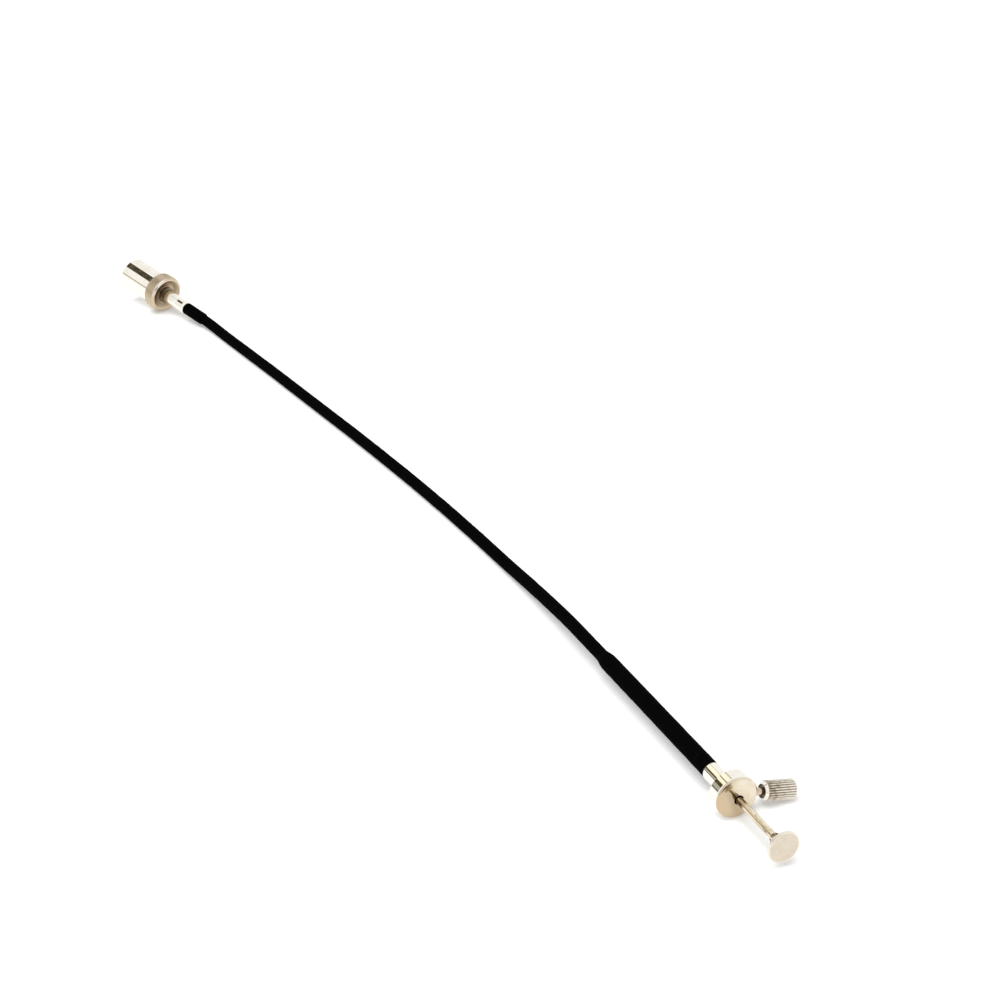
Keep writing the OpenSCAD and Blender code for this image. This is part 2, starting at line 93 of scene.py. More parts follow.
# The free cable's route from the barrel to the tip, in millimetres
CABLE_ROUTE = (
    (112, 14.4, 6.1), (106, 14.4, 6.1), (98, 14.6, 5.8), (90, 14.8, 5.3), (80, 15, 4.5),
    (70, 15.2, 3.6), (60, 15.2, 2.8), (50, 15, 2.2), (40, 14.6, 2), (30, 14.1, 1.9),
    (20, 13.4, 1.9), (10, 12.7, 1.9), (0, 11.8, 1.9), (-10, 10.9, 1.9), (-20, 9.9, 1.9),
    (-30, 8.8, 1.9), (-40, 7.7, 1.9), (-50, 6.5, 1.9), (-60, 5.3, 1.9), (-70, 4, 1.9),
    (-80, 2.7, 1.9), (-90, 1.4, 1.9), (-100, 0.1, 1.9), (-110, -1.2, 1.9), (-120, -2.5, 1.9),
    (-130, -3.9, 1.9), (-140, -5.3, 1.9), (-150, -6.7, 1.9), (-158, -7.8, 1.9), (-164, -8.7, 2.1),
    (-169, -9.6, 2.4),
)


def on_axis(place, distance):
    """A point on a piece's axis, at a distance in metres from its origin."""
    return place @ Vector((0, 0, distance))


# Sizes and colours


def length(name, millimetres, description):
    return FloatProperty(
        name=name, description=description, default=millimetres * MM, min=0, unit="LENGTH", precision=5
    )


def colour(name, value, description):
    return FloatVectorProperty(
        name=name, description=description, default=value, size=3, min=0, max=1, subtype="COLOR"
    )


class ReleaseTriggerSizes(bpy.types.PropertyGroup):
    plate_d: length("Plate diameter", 12.2, "Diameter of the finger plate")
    plate_t: length("Plate thickness", PLATE_THICKNESS, "Thickness of the finger plate")
    plate_dome: length("Plate dome", 1.3, "Rise of the finger plate's domed face over its edge")
    plate_bore_d: length("Plate bore", 2.7, "Open bore round the rod at the plate's face")
    ferrule_d: length("Ferrule diameter", 5.3, "Diameter of the ferrule behind the plate")
    ferrule_l: length("Ferrule length", 9, "Length of the ferrule behind the plate")
    tube_d: length("Guide tube diameter", 4.2, "Diameter of the guide tube under the cloth")
    rod_d: length("Rod diameter", 2.1, "Diameter of the plunger rod")
    rod_out: length("Rod reach", 18.6, "Bare rod between the plate and the collar")
    collar_d: length("Collar diameter", 2.9, "Diameter of the collar behind the button")
    collar_l: length("Collar length", 4.1, "Length of the collar behind the button")
    button_d: length("Button diameter", 8.9, "Diameter of the thumb button")
    button_t: length("Button thickness", 0.8, "Thickness of the thumb button")
    spring_d: length("Spring diameter", 2.8, "Outer diameter of the return spring")
    spring_wire: length("Spring wire", 0.4, "Wire of the return spring")
    spring_turns: IntProperty(name="Spring turns", description="Turns of the return spring", default=26, min=4)


class ReleaseLockSizes(bpy.types.PropertyGroup):
    shank_d: length("Shank diameter", 2, "Diameter of the lock screw")
    pitch: length("Thread pitch", 0.5, "Rise of the lock screw's thread in one turn")
    knob_at: length("Knob place", 8.7, "Distance of the knob's near face from the rod's axis")
    knob_d: length("Knob diameter", 5.4, "Diameter of the knob over its flutes")
    knob_l: length("Knob length", 9.6, "Length of the knob")
    flute_depth: length("Flute depth", 0.22, "Depth of the knob's flutes")
    flutes: IntProperty(name="Flutes", description="Flutes round the knob", default=24, min=8)


class ReleaseCableSizes(bpy.types.PropertyGroup):
    cable_d: length("Cable diameter", 3.8, "Diameter of the cloth-covered cable")
    conduit_d: length("Conduit diameter", 2.5, "Diameter of the wound conduit")
    core_d: length("Core diameter", 1, "Diameter of the core wire")
    barrel_d: length("Barrel diameter", 5, "Diameter of the cloth on the barrel")
    barrel_l: length("Barrel length", 64, "Length of the barrel's cloth behind the ferrule")
    barrel_shoulder: length("Barrel shoulder", 5.2, "Length over which the barrel steps down to the cable")
    tip_d: length("Tip diameter", 4.5, "Diameter of the cloth on the tip")
    tip_l: length("Tip length", 10.5, "Length of the tip's cloth with its shoulder")
    tip_shoulder: length("Tip shoulder", 1.5, "Length over which the tip steps down to the cable")
    lump: length("Lumps", 0.05, "Height of the lumps of the cloth over the conduit")


class ReleaseBellSizes(bpy.types.PropertyGroup):
    cup_d: length("Cup diameter", 12.4, "Diameter of the bell cup")
    bell_l: length("Bell length", 20.5, "Length of the bell from its rear rim to its mouth")
    thread_d: length("Thread bore", 10.5, "Bore at the crests of the thread in the mouth")
    relief_d: length("Relief bore", 11, "Bore behind the thread")
    thread_l: length("Thread length", 5.5, "Length of the thread in the mouth")
    thread_pitch: length("Thread pitch", 0.5, "Pitch of the thread in the mouth")
    ring_d: length("Ring diameter", 14.4, "Diameter of the grip ring over its knurl")
    ring_w: length("Ring width", 5.2, "Width of the grip ring")
    knurl_depth: length("Knurl depth", 0.16, "Depth of the grip ring's knurl")
    teeth: IntProperty(name="Teeth", description="Teeth round the grip ring", default=72, min=24)
    neck_d: length("Neck diameter", 5.2, "Diameter of the neck at its flange")
    neck_end_d: length("Neck end diameter", 4.9, "Diameter of the neck where the cloth begins")
    neck_l: length("Neck length", 12.5, "Length of the bare neck behind the bell's rear rim")
    pin_d: length("Pin diameter", 1.6, "Diameter of the release pin")
    pin_l: length("Pin length", 19.9, "Length of the release pin")


class ReleaseFinishes(bpy.types.PropertyGroup):
    nickel: colour("Nickel", (0.94, 0.905, 0.82), "Polished nickel with a warm cast")
    # Also the colour of painted shade on the plate's lower face, in the grip ring's dish and at the knob's near end.
    tarnish: colour("Tarnish", (0.58, 0.46, 0.31), "Nickel where it has dulled")
    face: colour("Plate face", (0.83, 0.755, 0.62), "Domed face of the finger plate")
    satin: colour("Satin nickel", (0.69, 0.62, 0.52), "Turned and knurled nickel")
    rubbed: colour("Rubbed nickel", (0.87, 0.78, 0.61), "Nickel of the rod, rubbed thin and golden")
    ring: colour("Ring nickel", (0.62, 0.52, 0.38), "Warm nickel of the grip ring")
    blush: colour("Screw nickel", (0.72, 0.57, 0.44), "Brownish nickel of the lock screw's shank")
    # Used both for real dirt and for painted shade: in grooves, corners and recesses, in the grip ring's dish, on the
    # rod's sides by the plate and on the bush in the bore.
    grime_and_shade: colour("Grime", (0.11, 0.07, 0.035), "Old dirt in grooves and corners")
    steel: colour("Steel", (0.62, 0.60, 0.57), "Steel of the pin and the screw")
    brass: colour("Brass", (0.72, 0.53, 0.24), "Brass of the hidden tubes and bushes")
    dark: colour("Dark metal", (0.05, 0.045, 0.04), "Blackened metal")
    cloth: colour("Cloth", (0.0009, 0.0008, 0.0009), "Black cloth over the cable")
    # Painted highlight: a lighter colour on the cloth's raised threads.
    thread: colour("Cloth highlight", (0.004, 0.0037, 0.0039), "Raised threads of the cloth")


class InMillimetres:
    """Reads the lengths of a group of sizes in millimetres."""

    def __init__(self, group):
        self.group = group

    def __getattr__(self, name):
        return getattr(self.group, name) / MM


# Modelling by operators


def fresh(active=None):
    """Deselects everything, then selects one piece if it is given."""
    if bpy.context.object and bpy.context.object.mode != "OBJECT":
        bpy.ops.object.mode_set(mode="OBJECT")
    bpy.ops.object.select_all(action="DESELECT")
    if active:
        active.select_set(True)
        bpy.context.view_layer.objects.active = active


def draw(name, profile):
    """Draws a line through (radius, place) points in millimetres by extruding a vertex, and stays in edit mode."""
    fresh()
    bpy.ops.mesh.primitive_plane_add(size=MM, location=(0, 0, 0))
    piece = bpy.context.object
    piece.name = piece.data.name = name
    bpy.ops.object.mode_set(mode="EDIT")
    bpy.ops.mesh.merge(type="CENTER")
    bpy.ops.transform.translate(value=(profile[0][0] * MM, 0, profile[0][1] * MM))
    for (r0, z0), (r1, z1) in zip(profile, profile[1:]):
        step = ((r1 - r0) * MM, 0, (z1 - z0) * MM)
        bpy.ops.mesh.extrude_region_move(TRANSFORM_OT_translate={"value": step})
    return piece


def tidy_up():
    """Merges doubles and turns the faces outward, from edit mode back to object mode."""
    bpy.ops.mesh.select_all(action="SELECT")
    bpy.ops.mesh.remove_doubles(threshold=0.0005 * MM)
    bpy.ops.mesh.normals_make_consistent(inside=False)
    bpy.ops.object.mode_set(mode="OBJECT")


def turn(name, profile, steps=96, bevel=0.0):
    """Turns a piece from a half profile, as on a lathe. A profile that leaves the axis is closed to a ring."""
    whole = list(profile)
    if whole[0][0] > 0 or whole[-1][0] > 0:
        whole.append(whole[0])
    piece = draw(name, whole)
    bpy.ops.mesh.select_all(action="SELECT")
    bpy.ops.mesh.spin(steps=steps, angle=2 * math.pi, center=(0, 0, 0), axis=(0, 0, 1))
    tidy_up()
    if bevel:
        soften(piece, bevel)
    return piece


def soften(piece, width, angle=28):
    """Rounds the sharp edges of a piece by a width in millimetres."""
    fresh(piece)
    bpy.ops.object.modifier_add(type="BEVEL")
    modifier = piece.modifiers[-1]
    modifier.width = width * MM
    modifier.segments = 2
    modifier.limit_method = "ANGLE"
    modifier.angle_limit = math.radians(angle)
    bpy.ops.object.modifier_apply(modifier=modifier.name)


def dome(edge, bore, rise, ball=19.0, shoulder=0.45):
    """Points of a domed face from its edge in to its bore: a round shoulder, then a part of a large ball."""
    inner = edge - shoulder
    drop = rise - (ball - math.sqrt(ball * ball - edge * edge))
    radii = [inner + shoulder * math.cos(math.pi / 2 * n / 7) for n in range(7)]
    radii += [inner + (bore - inner) * n / 10 for n in range(11)]
    profile = []
    for r in radii:
        share = min(1, max(0, (r - inner) / shoulder))
        on_ball = rise - ball + math.sqrt(ball * ball - r * r)
        profile.append((r, on_ball - drop * (1 - math.sqrt(1 - share * share))))
    return profile


def wind(name, section, pitch, turns, steps):
    """Winds a closed section of (radius, place) corners round Z along a screw line, with both ends closed."""
    piece = draw(name, section)
    bpy.ops.mesh.select_all(action="SELECT")
    bpy.ops.mesh.edge_face_add()
    bpy.ops.mesh.delete(type="ONLY_FACE")
    bpy.ops.object.mode_set(mode="OBJECT")
    bpy.ops.object.modifier_add(type="SCREW")
    modifier = piece.modifiers[-1]
    modifier.axis = "Z"
    modifier.angle = 2 * math.pi
    modifier.screw_offset = pitch * MM
    modifier.iterations = turns
    modifier.steps = modifier.render_steps = steps
    bpy.ops.object.modifier_apply(modifier=modifier.name)
    bpy.ops.object.mode_set(mode="EDIT")
    bpy.ops.mesh.select_all(action="SELECT")
    bpy.ops.mesh.fill_holes(sides=0)
    tidy_up()
    return piece


def cut(piece, cutter):
    """Takes one closed shape out of a piece."""
    fresh(piece)
    bpy.ops.object.modifier_add(type="BOOLEAN")
    modifier = piece.modifiers[-1]
    modifier.operation = "DIFFERENCE"
    modifier.solver = "EXACT"
    modifier.object = cutter
    bpy.ops.object.modifier_apply(modifier=modifier.name)
    bpy.data.objects.remove(cutter)


def pick(piece, test):
    """Selects the vertices that pass a test, and stays in edit mode."""
    fresh(piece)
    mesh = piece.data
    for part in (mesh.polygons, mesh.edges):
        part.foreach_set("select", [False] * len(part))
    for vertex in mesh.vertices:
        vertex.select = test(vertex.co / MM)
    bpy.ops.object.mode_set(mode="EDIT")
    bpy.ops.mesh.select_mode(type="VERT")


def flute(piece, radius, steps, depths, low, high):
    """Cuts flutes into a turned band: the steps of each flute are scaled in to their own depths."""
    for number, depth in enumerate(depths):
        if depth:
            pick(
                piece,
                lambda co: low < co.z < high
                and co.xy.length > radius - 0.005
                and round(math.atan2(co.y, co.x) / (2 * math.pi) * steps) % len(depths) == number,
            )
            share = 1 - depth / radius
            bpy.ops.transform.resize(value=(share, share, 1), center_override=(0, 0, 0))
            bpy.ops.object.mode_set(mode="OBJECT")


def settle(piece, place, body, material, nodes=(), smooth=28, weighted=True):
    """Puts a drawn piece in its place, and gives it its finish and its body; it hides the frame's nodes that it stands
    for.
    """
    fresh(piece)
    piece.matrix_world = place
    bpy.ops.object.transform_apply(location=True, rotation=True, scale=True)
    if smooth:
        bpy.ops.object.shade_smooth_by_angle(angle=math.radians(smooth))
        if weighted:
            bpy.ops.object.modifier_add(type="WEIGHTED_NORMAL")
            modifier = piece.modifiers[-1]
            modifier.keep_sharp = True
            bpy.ops.object.modifier_apply(modifier=modifier.name)
    piece.data.materials.clear()
    piece.data.materials.append(material)
    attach(piece, body)
    if nodes:
        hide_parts(*nodes)
    return piece


def dress(node, material):
    """Gives one of the frame's own nodes its finish."""
    piece = frame["nodes"][node]
    piece.data.materials.clear()
    piece.data.materials.append(material)


# Cloth covers and wires, as meshes along a line


def smooth_route(points, first, last, spacing):
    """A smooth curve through points, sampled evenly, with the directions it leaves and arrives in."""
    points = [Vector(p) * MM for p in points]
    points = [points[0] - first * 6 * MM, *points, points[-1] + last * 6 * MM]
    dense = []
    for a, b, c, d in zip(points, points[1:], points[2:], points[3:]):
        for i in range(40):
            t = i / 40
            dense.append(
                0.5 * (2 * b + (c - a) * t + (2 * a - 5 * b + 4 * c - d) * t * t + (3 * b - a - 3 * c + d) * t**3)
            )
    dense.append(points[-2])
    walked = [0.0]
    for p, q in zip(dense, dense[1:]):
        walked.append(walked[-1] + (q - p).length)
    count = round(walked[-1] / (spacing * MM))
    route, at = [], 0
    for i in range(count + 1):
        goal = walked[-1] * i / count
        while at < len(walked) - 2 and walked[at + 1] < goal:
            at += 1
        share = (goal - walked[at]) / max(walked[at + 1] - walked[at], 1e-12)
        route.append(dense[at].lerp(dense[at + 1], min(share, 1)))
    return route


def headings(route, first, last):
    inner = [(q - p).normalized() for p, q in zip(route, route[2:])]
    return [first, *inner, last]


def skin(name, route, ways, radii, sides, surface):
    """A closed tube round a route. Its surface function adds a height at (distance, angle), all in metres."""
    vertices, uvs, faces, walked = [], [], [], 0.0
    for i, (point, way, radius) in enumerate(zip(route, ways, radii)):
        walked += (point - route[i - 1]).length if i else 0
        across = way.cross(Vector((0, 0, 1))).normalized()
        upward = across.cross(way)
        for k in range(sides):
            angle = 2 * math.pi * k / sides
            out = math.cos(angle) * across + math.sin(angle) * upward
            vertices.append(point + out * (radius + surface(walked, angle)))
        uvs.append(walked / (2 * math.pi * max(radii)))
    for i in range(len(route) - 1):
        for k in range(sides):
            a, b = i * sides + k, i * sides + (k + 1) % sides
            faces.append((a, b, b + sides, a + sides))
    last = (len(route) - 1) * sides
    faces.append(tuple(range(sides - 1, -1, -1)))
    faces.append(tuple(range(last, last + sides)))
    mesh = bpy.data.meshes.new(name)
    mesh.from_pydata(vertices, [], faces)
    layer = mesh.uv_layers.new(name="UVMap")
    for i in range(len(route) - 1):
        for k in range(sides):
            corner = (i * sides + k) * 4
            u0, u1 = k / sides, (k + 1) / sides
            for n, uv in enumerate(((u0, uvs[i]), (u1, uvs[i]), (u1, uvs[i + 1]), (u0, uvs[i + 1]))):
                layer.data[corner + n].uv = uv
    for n in range((len(route) - 1) * sides * 4, len(layer.data)):
        layer.data[n].uv = (0.5, uvs[0])
    mesh.validate()
    piece = bpy.data.objects.new(name, mesh)
    bpy.context.scene.collection.objects.link(piece)
    fresh(piece)
    bpy.ops.object.mode_set(mode="EDIT")
    bpy.ops.mesh.select_all(action="SELECT")
    bpy.ops.mesh.normals_make_consistent(inside=False)
    bpy.ops.object.mode_set(mode="OBJECT")
    return piece


def cloth_surface(lump, seed):
    """Height of a cloth cover: soft lumps over what lies under it, and the fine grain of its threads."""

    def height(walked, angle):
        round_it = Vector((math.cos(angle), math.sin(angle), 0))
        at = round_it * 1.2 + Vector((0, 0, walked / (3.2 * MM) + seed))
        grain = noise.noise(round_it * 6 + Vector((0, 0, walked / (0.5 * MM) + seed)))
        wave = math.sin(2 * math.pi * walked / (4.8 * MM) + angle)
        swell = noise.noise(Vector((seed, 0, walked / (15 * MM))))
        return lump * (noise.noise(at) + 0.5 * wave * swell) + 0.018 * MM * grain

    return height


def settle_cloth(cover, node, threads):
    """Settles a cover in place of a node, with a number of threads round it."""
    settle(cover, Matrix(), "root", black_cloth(node + "_weave", threads), [node], 60, False)


def step_down(walked, start, run, high, low):
    """Radius of a cover that steps down smoothly over a run."""
    t = min(max((walked - start) / run, 0), 1)
    return high + (low - high) * (1 - math.cos(math.pi * t)) / 2


# Finishes


class Finish:
    """Builds one node material. Its place is the object's own coordinates, carried into the frame of a turned piece."""

    def __init__(self, name, place=None):
        self.material = bpy.data.materials.new(name)
        self.material.use_nodes = True
        self.tree = self.material.node_tree
        self.shader = self.tree.nodes["Principled BSDF"]
        self.object = self.add("TexCoord").outputs["Object"]
        if place:
            back = place.inverted()
            mapping = self.add("Mapping", Vector=self.object)
            mapping.inputs["Location"].default_value = back.translation
            mapping.inputs["Rotation"].default_value = back.to_euler()
            self.place = mapping.outputs[0]
            self.turn_back = place.to_3x3().transposed()

    def add(self, kind, settings=(), **sockets):
        made = self.tree.nodes.new("ShaderNode" + kind)
        for key, value in dict(settings).items():
            setattr(made, key, value)
        for key, value in sockets.items():
            self.feed(made.inputs[key.replace("_", " ")], value)
        return made

    def feed(self, socket, value):
        if isinstance(value, bpy.types.NodeSocket):
            self.tree.links.new(value, socket)
        else:
            socket.default_value = value

    def math(self, operation, *values, clamp=False):
        made = self.add("Math", {"operation": operation, "use_clamp": clamp})
        for socket, value in zip(made.inputs, values):
            self.feed(socket, value)
        return made.outputs[0]

    def vector(self, operation, *values):
        made = self.add("VectorMath", {"operation": operation})
        for socket, value in zip(made.inputs, values):
            self.feed(socket, value)
        return made.outputs["Value" if operation in ("LENGTH", "DOT_PRODUCT") else "Vector"]

    def plus(self, *values, clamp=False):
        return self.math("ADD", *values, clamp=clamp)

    def times(self, *values):
        return self.math("MULTIPLY", *values)

    def most(self, *values):
        return self.math("MAXIMUM", *values)

    def side(self, *direction):
        """Distance from the piece's origin towards a direction of the shared frame, in metres."""
        return self.vector("DOT_PRODUCT", self.place, self.turn_back @ Vector(direction))

    def noise(self, vector, scale, detail=3.0, rough=0.55):
        return self.add("TexNoise", Vector=vector, Scale=scale, Detail=detail, Roughness=rough).outputs["Fac"]

    def span(self, value, low, high, to_low=0.0, to_high=1.0):
        made = self.add("MapRange", {"clamp": True}, Value=value)
        for name, number in (("From Min", low), ("From Max", high), ("To Min", to_low), ("To Max", to_high)):
            self.feed(made.inputs[name], number)
        return made.outputs[0]

    def reach(self, value, low, high, to_low=0.0, to_high=1.0):
        """A span from one place to another in millimetres."""
        return self.span(value, low * MM, high * MM, to_low, to_high)

    def between(self, value, low, high):
        """1 between two places in millimetres, with soft ends."""
        return self.times(self.reach(value, low, low + 0.1), self.reach(value, high - 0.1, high, 1.0, 0.0))

    def tint(self, value):
        """A colour as a socket or as four numbers. A name stands for one of the scene's finishes."""
        if isinstance(value, str):
            value = getattr(colours(), value)
        return value if isinstance(value, bpy.types.NodeSocket) else (*value, 1)

    def mix(self, factor, a, b):
        made = self.add("Mix", {"data_type": "RGBA"})
        for index, value in ((0, factor), (6, self.tint(a)), (7, self.tint(b))):
            self.feed(made.inputs[index], value)
        return made.outputs[2]

    def round(self):
        """Distance from the axis and place along it, in metres."""
        parts = self.add("SeparateXYZ", Vector=self.place).outputs
        flat = self.add("CombineXYZ", X=parts["X"], Y=parts["Y"])
        return self.vector("LENGTH", flat.outputs[0]), parts["Z"]

    def lathe_marks(self, spacing):
        """Height of fine marks that run round the axis, some spacing in millimetres apart."""
        radius, along = self.round()
        fine = 1 / (spacing * MM)
        rings = self.add("CombineXYZ", X=self.times(radius, fine), Y=self.times(along, fine))
        return self.noise(rings.outputs[0], 1.0, 2.0)

    def finish(self, base, rough, metallic=1.0, height=None, depth=0.002):
        """Sets colour, roughness and bump; the bump's depth is in millimetres."""
        self.feed(self.shader.inputs["Base Color"], self.tint(base))
        self.feed(self.shader.inputs["Roughness"], rough)
        self.shader.inputs["Metallic"].default_value = metallic
        if height:
            bump = self.add("Bump", Height=height)
            bump.inputs["Strength"].default_value = 1.0
            bump.inputs["Distance"].default_value = depth * MM
            self.tree.links.new(bump.outputs[0], self.shader.inputs["Normal"])
        return self.material


def made_once(build):
    """Keeps each material, so that like pieces share it."""
    kept = {}

    def get(*args):
        if args not in kept:
            kept[args] = build(*args)
        return kept[args]

    return get


FRAMES = {"trigger": TRIGGER, "bell": BELL, "lock": LOCK}


def colours():
    return bpy.context.scene.release_finishes


@made_once
def polished_nickel(where):
    """Mirror-polished nickel with a faint cloud of tarnish, hairline scratches and a trace of turning."""
    f = Finish("polished_nickel_" + where, FRAMES[where])
    cloud = f.noise(f.object, 260.0, 5.0, 0.6)
    specks = f.noise(f.object, 2600.0, 2.0)
    worn = f.times(f.span(cloud, 0.45, 0.8), 0.35)
    spotted = f.most(worn, f.span(specks, 0.74, 0.8, 0.0, 0.5))
    base = f.mix(spotted, "nickel", "tarnish")
    rough = f.span(f.noise(f.object, 700.0, 4.0), 0.3, 0.75, 0.05, 0.1)
    return f.finish(base, rough, height=f.lathe_marks(0.05), depth=0.00015)


@made_once
def satin_nickel(where, edge):
    """Nickel faces with the fine rings that a lathe leaves, dulled in patches and brighter near their edge."""
    f = Finish("satin_nickel_" + where, FRAMES[where])
    radius, _ = f.round()
    cloud = f.noise(f.object, 330.0, 5.0, 0.65)
    specks = f.noise(f.object, 3000.0, 2.0)
    dull = f.most(f.span(cloud, 0.4, 0.75, 0.0, 0.45), f.span(specks, 0.7, 0.78, 0.0, 0.7))
    base = f.mix(dull, "satin", "tarnish")
    base = f.mix(f.reach(radius, edge - 0.55, edge - 0.15, 0.0, 0.6), base, "nickel")
    rough = f.span(f.noise(f.object, 900.0, 4.0), 0.3, 0.7, 0.24, 0.38)
    return f.finish(base, rough, height=f.lathe_marks(0.11), depth=0.003)


@made_once
def plate_nickel():
    """The finger plate: a bright rim, and a domed face that mirrors the rod through the rings that the lathe left. The
    face's lower side is dulled with painted shade.
    """
    f = Finish("plate_nickel", FRAMES["trigger"])
    radius, along = f.round()
    face = f.reach(along, -0.16, -0.04)
    broad = f.add("CombineXYZ", X=f.times(radius, 1 / (0.22 * MM)))
    rings = f.noise(broad.outputs[0], 1.0, 2.0, 0.6)
    cloud = f.noise(f.object, 300.0, 5.0, 0.6)
    specks = f.noise(f.object, 2800.0, 2.0)
    dull = f.plus(f.span(cloud, 0.4, 0.75, 0.0, 0.25), f.span(rings, 0.35, 0.65, 0.0, 0.34))
    # Painted shade: the face is dulled towards its lower side.
    dull = f.plus(dull, f.reach(f.side(0, -0.75, -0.65), -3.5, 2.5, 0.0, 0.9), clamp=True)
    dull = f.most(dull, f.span(specks, 0.72, 0.8, 0.0, 0.6))
    turned = f.mix(dull, "face", "tarnish")
    rim = f.mix(f.span(cloud, 0.4, 0.8, 0.0, 0.2), "nickel", "tarnish")
    slant = math.radians(60)
    line = f.math("ABSOLUTE", f.side(0, math.sin(slant), math.cos(slant)))
    scratch = f.times(f.reach(line, 0.1, 0.2, 0.85, 0.0), f.reach(f.side(0, 0, 1), 0, 1))
    base = f.mix(face, f.mix(scratch, rim, "grime_and_shade"), turned)
    rough = f.plus(f.span(f.noise(f.object, 800.0, 4.0), 0.3, 0.75, 0.05, 0.1), f.times(face, 0.04))
    marks = f.plus(f.lathe_marks(0.05), f.times(f.times(rings, face), 3.6))
    return f.finish(base, rough, height=marks, depth=0.0006)


@made_once
def knob_nickel(near, low, high, root, crest):
    """The lock knob: darker flutes, a recess at its near end painted dark as shade, painted shade that grows towards
    that end, and brightened crests.
    """
    f = Finish("knob_nickel", FRAMES["lock"])
    radius, along = f.round()
    patches = f.noise(f.object, 500.0, 4.0, 0.6)
    band = f.between(along, low, high)
    # The flutes darken towards their roots, and more so near the knob's near end; that growth is painted shade.
    flutes = f.times(band, f.reach(radius, root + 0.02, crest - 0.035, 1.0, 0.0))
    dirt_and_shade = f.times(flutes, f.reach(along, low + 1, high, 1.0, 0.7))
    # Painted shade: the recess inside the near end is darkened.
    inside = f.reach(radius, root - 0.64, root - 0.58, 1.0, 0.0)
    pocket_shade = f.times(inside, f.reach(along, near + 0.7, near + 0.6))
    dirt_and_shade = f.most(dirt_and_shade, f.times(pocket_shade, 0.85))
    # The blotches lean towards the near end: painted shade.
    blotch = f.plus(f.noise(f.object, 800.0, 3.0, 0.6), f.reach(along, low, high, 0.12, -0.1))
    dirt_and_shade = f.most(dirt_and_shade, f.times(band, f.span(blotch, 0.5, 0.68, 0.0, 0.6)))
    # Duller towards the near end: painted shade, with patches of real dulling on top.
    worn = f.times(band, f.reach(along, low + 1, high, 0.5, 0.15))
    worn = f.most(worn, f.span(patches, 0.45, 0.75, 0.0, 0.35))
    metal = f.mix(worn, "nickel", "tarnish")
    base = f.mix(dirt_and_shade, metal, "grime_and_shade")
    rough = f.plus(f.span(patches, 0.3, 0.7, 0.1, 0.18), f.times(dirt_and_shade, 0.2))
    return f.finish(base, rough, height=f.lathe_marks(0.05), depth=0.0006)


@made_once
def grip_nickel():
    """The grip ring: darker knurl grooves, a painted highlight on the upper side of its rim, and brown painted shade in
    the dish, darkest on one side.
    """
    f = Finish("grip_nickel", FRAMES["bell"])
    radius, along = f.round()
    patches = f.noise(f.object, 420.0, 5.0, 0.65)
    # Darker in the knurl's grooves.
    groove = f.reach(radius, 7.02, 7.19, 1.0, 0.0)
    band = f.between(along, 0.85, 4.85)
    dirt_and_shade = f.times(f.times(groove, band), f.span(patches, 0.3, 0.6, 0.5, 0.3))
    # Painted shade and reflection: the dish is darkened to brown and dulled, most on one side.
    dish = f.times(f.reach(radius, 6.1, 5.3), f.reach(along, 1.3, 1.4, 1.0, 0.0))
    shaded_side = f.span(f.math("DIVIDE", f.side(0.1, -0.8, 0.58), radius), -0.1, 0.85, 0.12, 1.0)
    dish_shade = f.times(f.times(dish, shaded_side), f.span(patches, 0.3, 0.65, 0.7, 0.45))
    dulled = f.most(f.span(patches, 0.35, 0.7, 0.0, 0.45), f.times(dish, 0.8))
    metal = f.mix(dulled, "ring", "tarnish")
    # Painted highlight: the rim is brightened to nickel on its upper side only.
    rim = f.times(f.reach(along, 0.9, 0.7), f.reach(radius, 5.9, 6.2))
    rubbed = f.math("DIVIDE", f.side(-0.1, -0.65, 0.75), radius)
    metal = f.mix(f.times(rim, f.span(rubbed, 0.7, 0.95)), metal, "nickel")
    base = f.mix(f.most(dirt_and_shade, dish_shade), metal, "grime_and_shade")
    rough = f.plus(f.span(patches, 0.3, 0.7, 0.16, 0.26), f.times(dish, 0.2))
    return f.finish(base, rough, height=f.lathe_marks(0.06), depth=0.0006)


@made_once
def neck_nickel():
    """The polished neck, darker brown on its flange and round its root."""
    f = Finish("neck_nickel", FRAMES["bell"])
    radius, along = f.round()
    patches = f.noise(f.object, 420.0, 5.0, 0.65)
    # Darker brown on the flange and round the root.
    root = f.most(f.reach(radius, 2.64, 2.8), f.reach(along, -1.6, -0.7))
    dirt_and_shade = f.times(root, f.span(patches, 0.3, 0.65, 1.0, 0.75))
    dulled = f.most(f.span(patches, 0.5, 0.8, 0.0, 0.25), f.reach(along, -7, -2, 0.0, 0.5))
    metal = f.mix(dulled, "nickel", "tarnish")
    base = f.mix(dirt_and_shade, metal, "grime_and_shade")
    rough = f.plus(f.span(patches, 0.3, 0.75, 0.05, 0.1), f.times(root, 0.2))
    return f.finish(base, rough, height=f.lathe_marks(0.05), depth=0.00015)


@made_once
def collar_nickel(low, high, waist, crest):
    """The collar behind the button, darker in its groove, along its ends and in bars near its front end."""
    f = Finish("collar_nickel", FRAMES["trigger"])
    radius, along = f.round()
    patches = f.noise(f.object, 900.0, 4.0, 0.6)
    # Darker in the groove, at both ends and in bars near the front end.
    groove = f.reach(radius, waist + 0.02, crest - 0.05, 1.0, 0.0)
    ends = f.most(f.reach(along, low + 0.1, low + 0.5, 1.0, 0.0), f.reach(along, high - 0.5, high))
    bars = f.noise(f.vector("MULTIPLY", f.place, (1.0, 1.0, 0.15)), 1300.0, 2.0, 0.5)
    front = f.times(f.reach(along, low + 1.2, low + 1.6, 1.0, 0.0), f.span(bars, 0.42, 0.5))
    dirt_and_shade = f.times(f.most(groove, f.most(ends, front)), f.span(patches, 0.3, 0.6, 1.0, 0.85))
    metal = f.mix(f.span(patches, 0.3, 0.7, 0.0, 0.5), "rubbed", "tarnish")
    return f.finish(f.mix(dirt_and_shade, metal, "grime_and_shade"), f.span(dirt_and_shade, 0.0, 1.0, 0.14, 0.4), height=patches, depth=0.004)


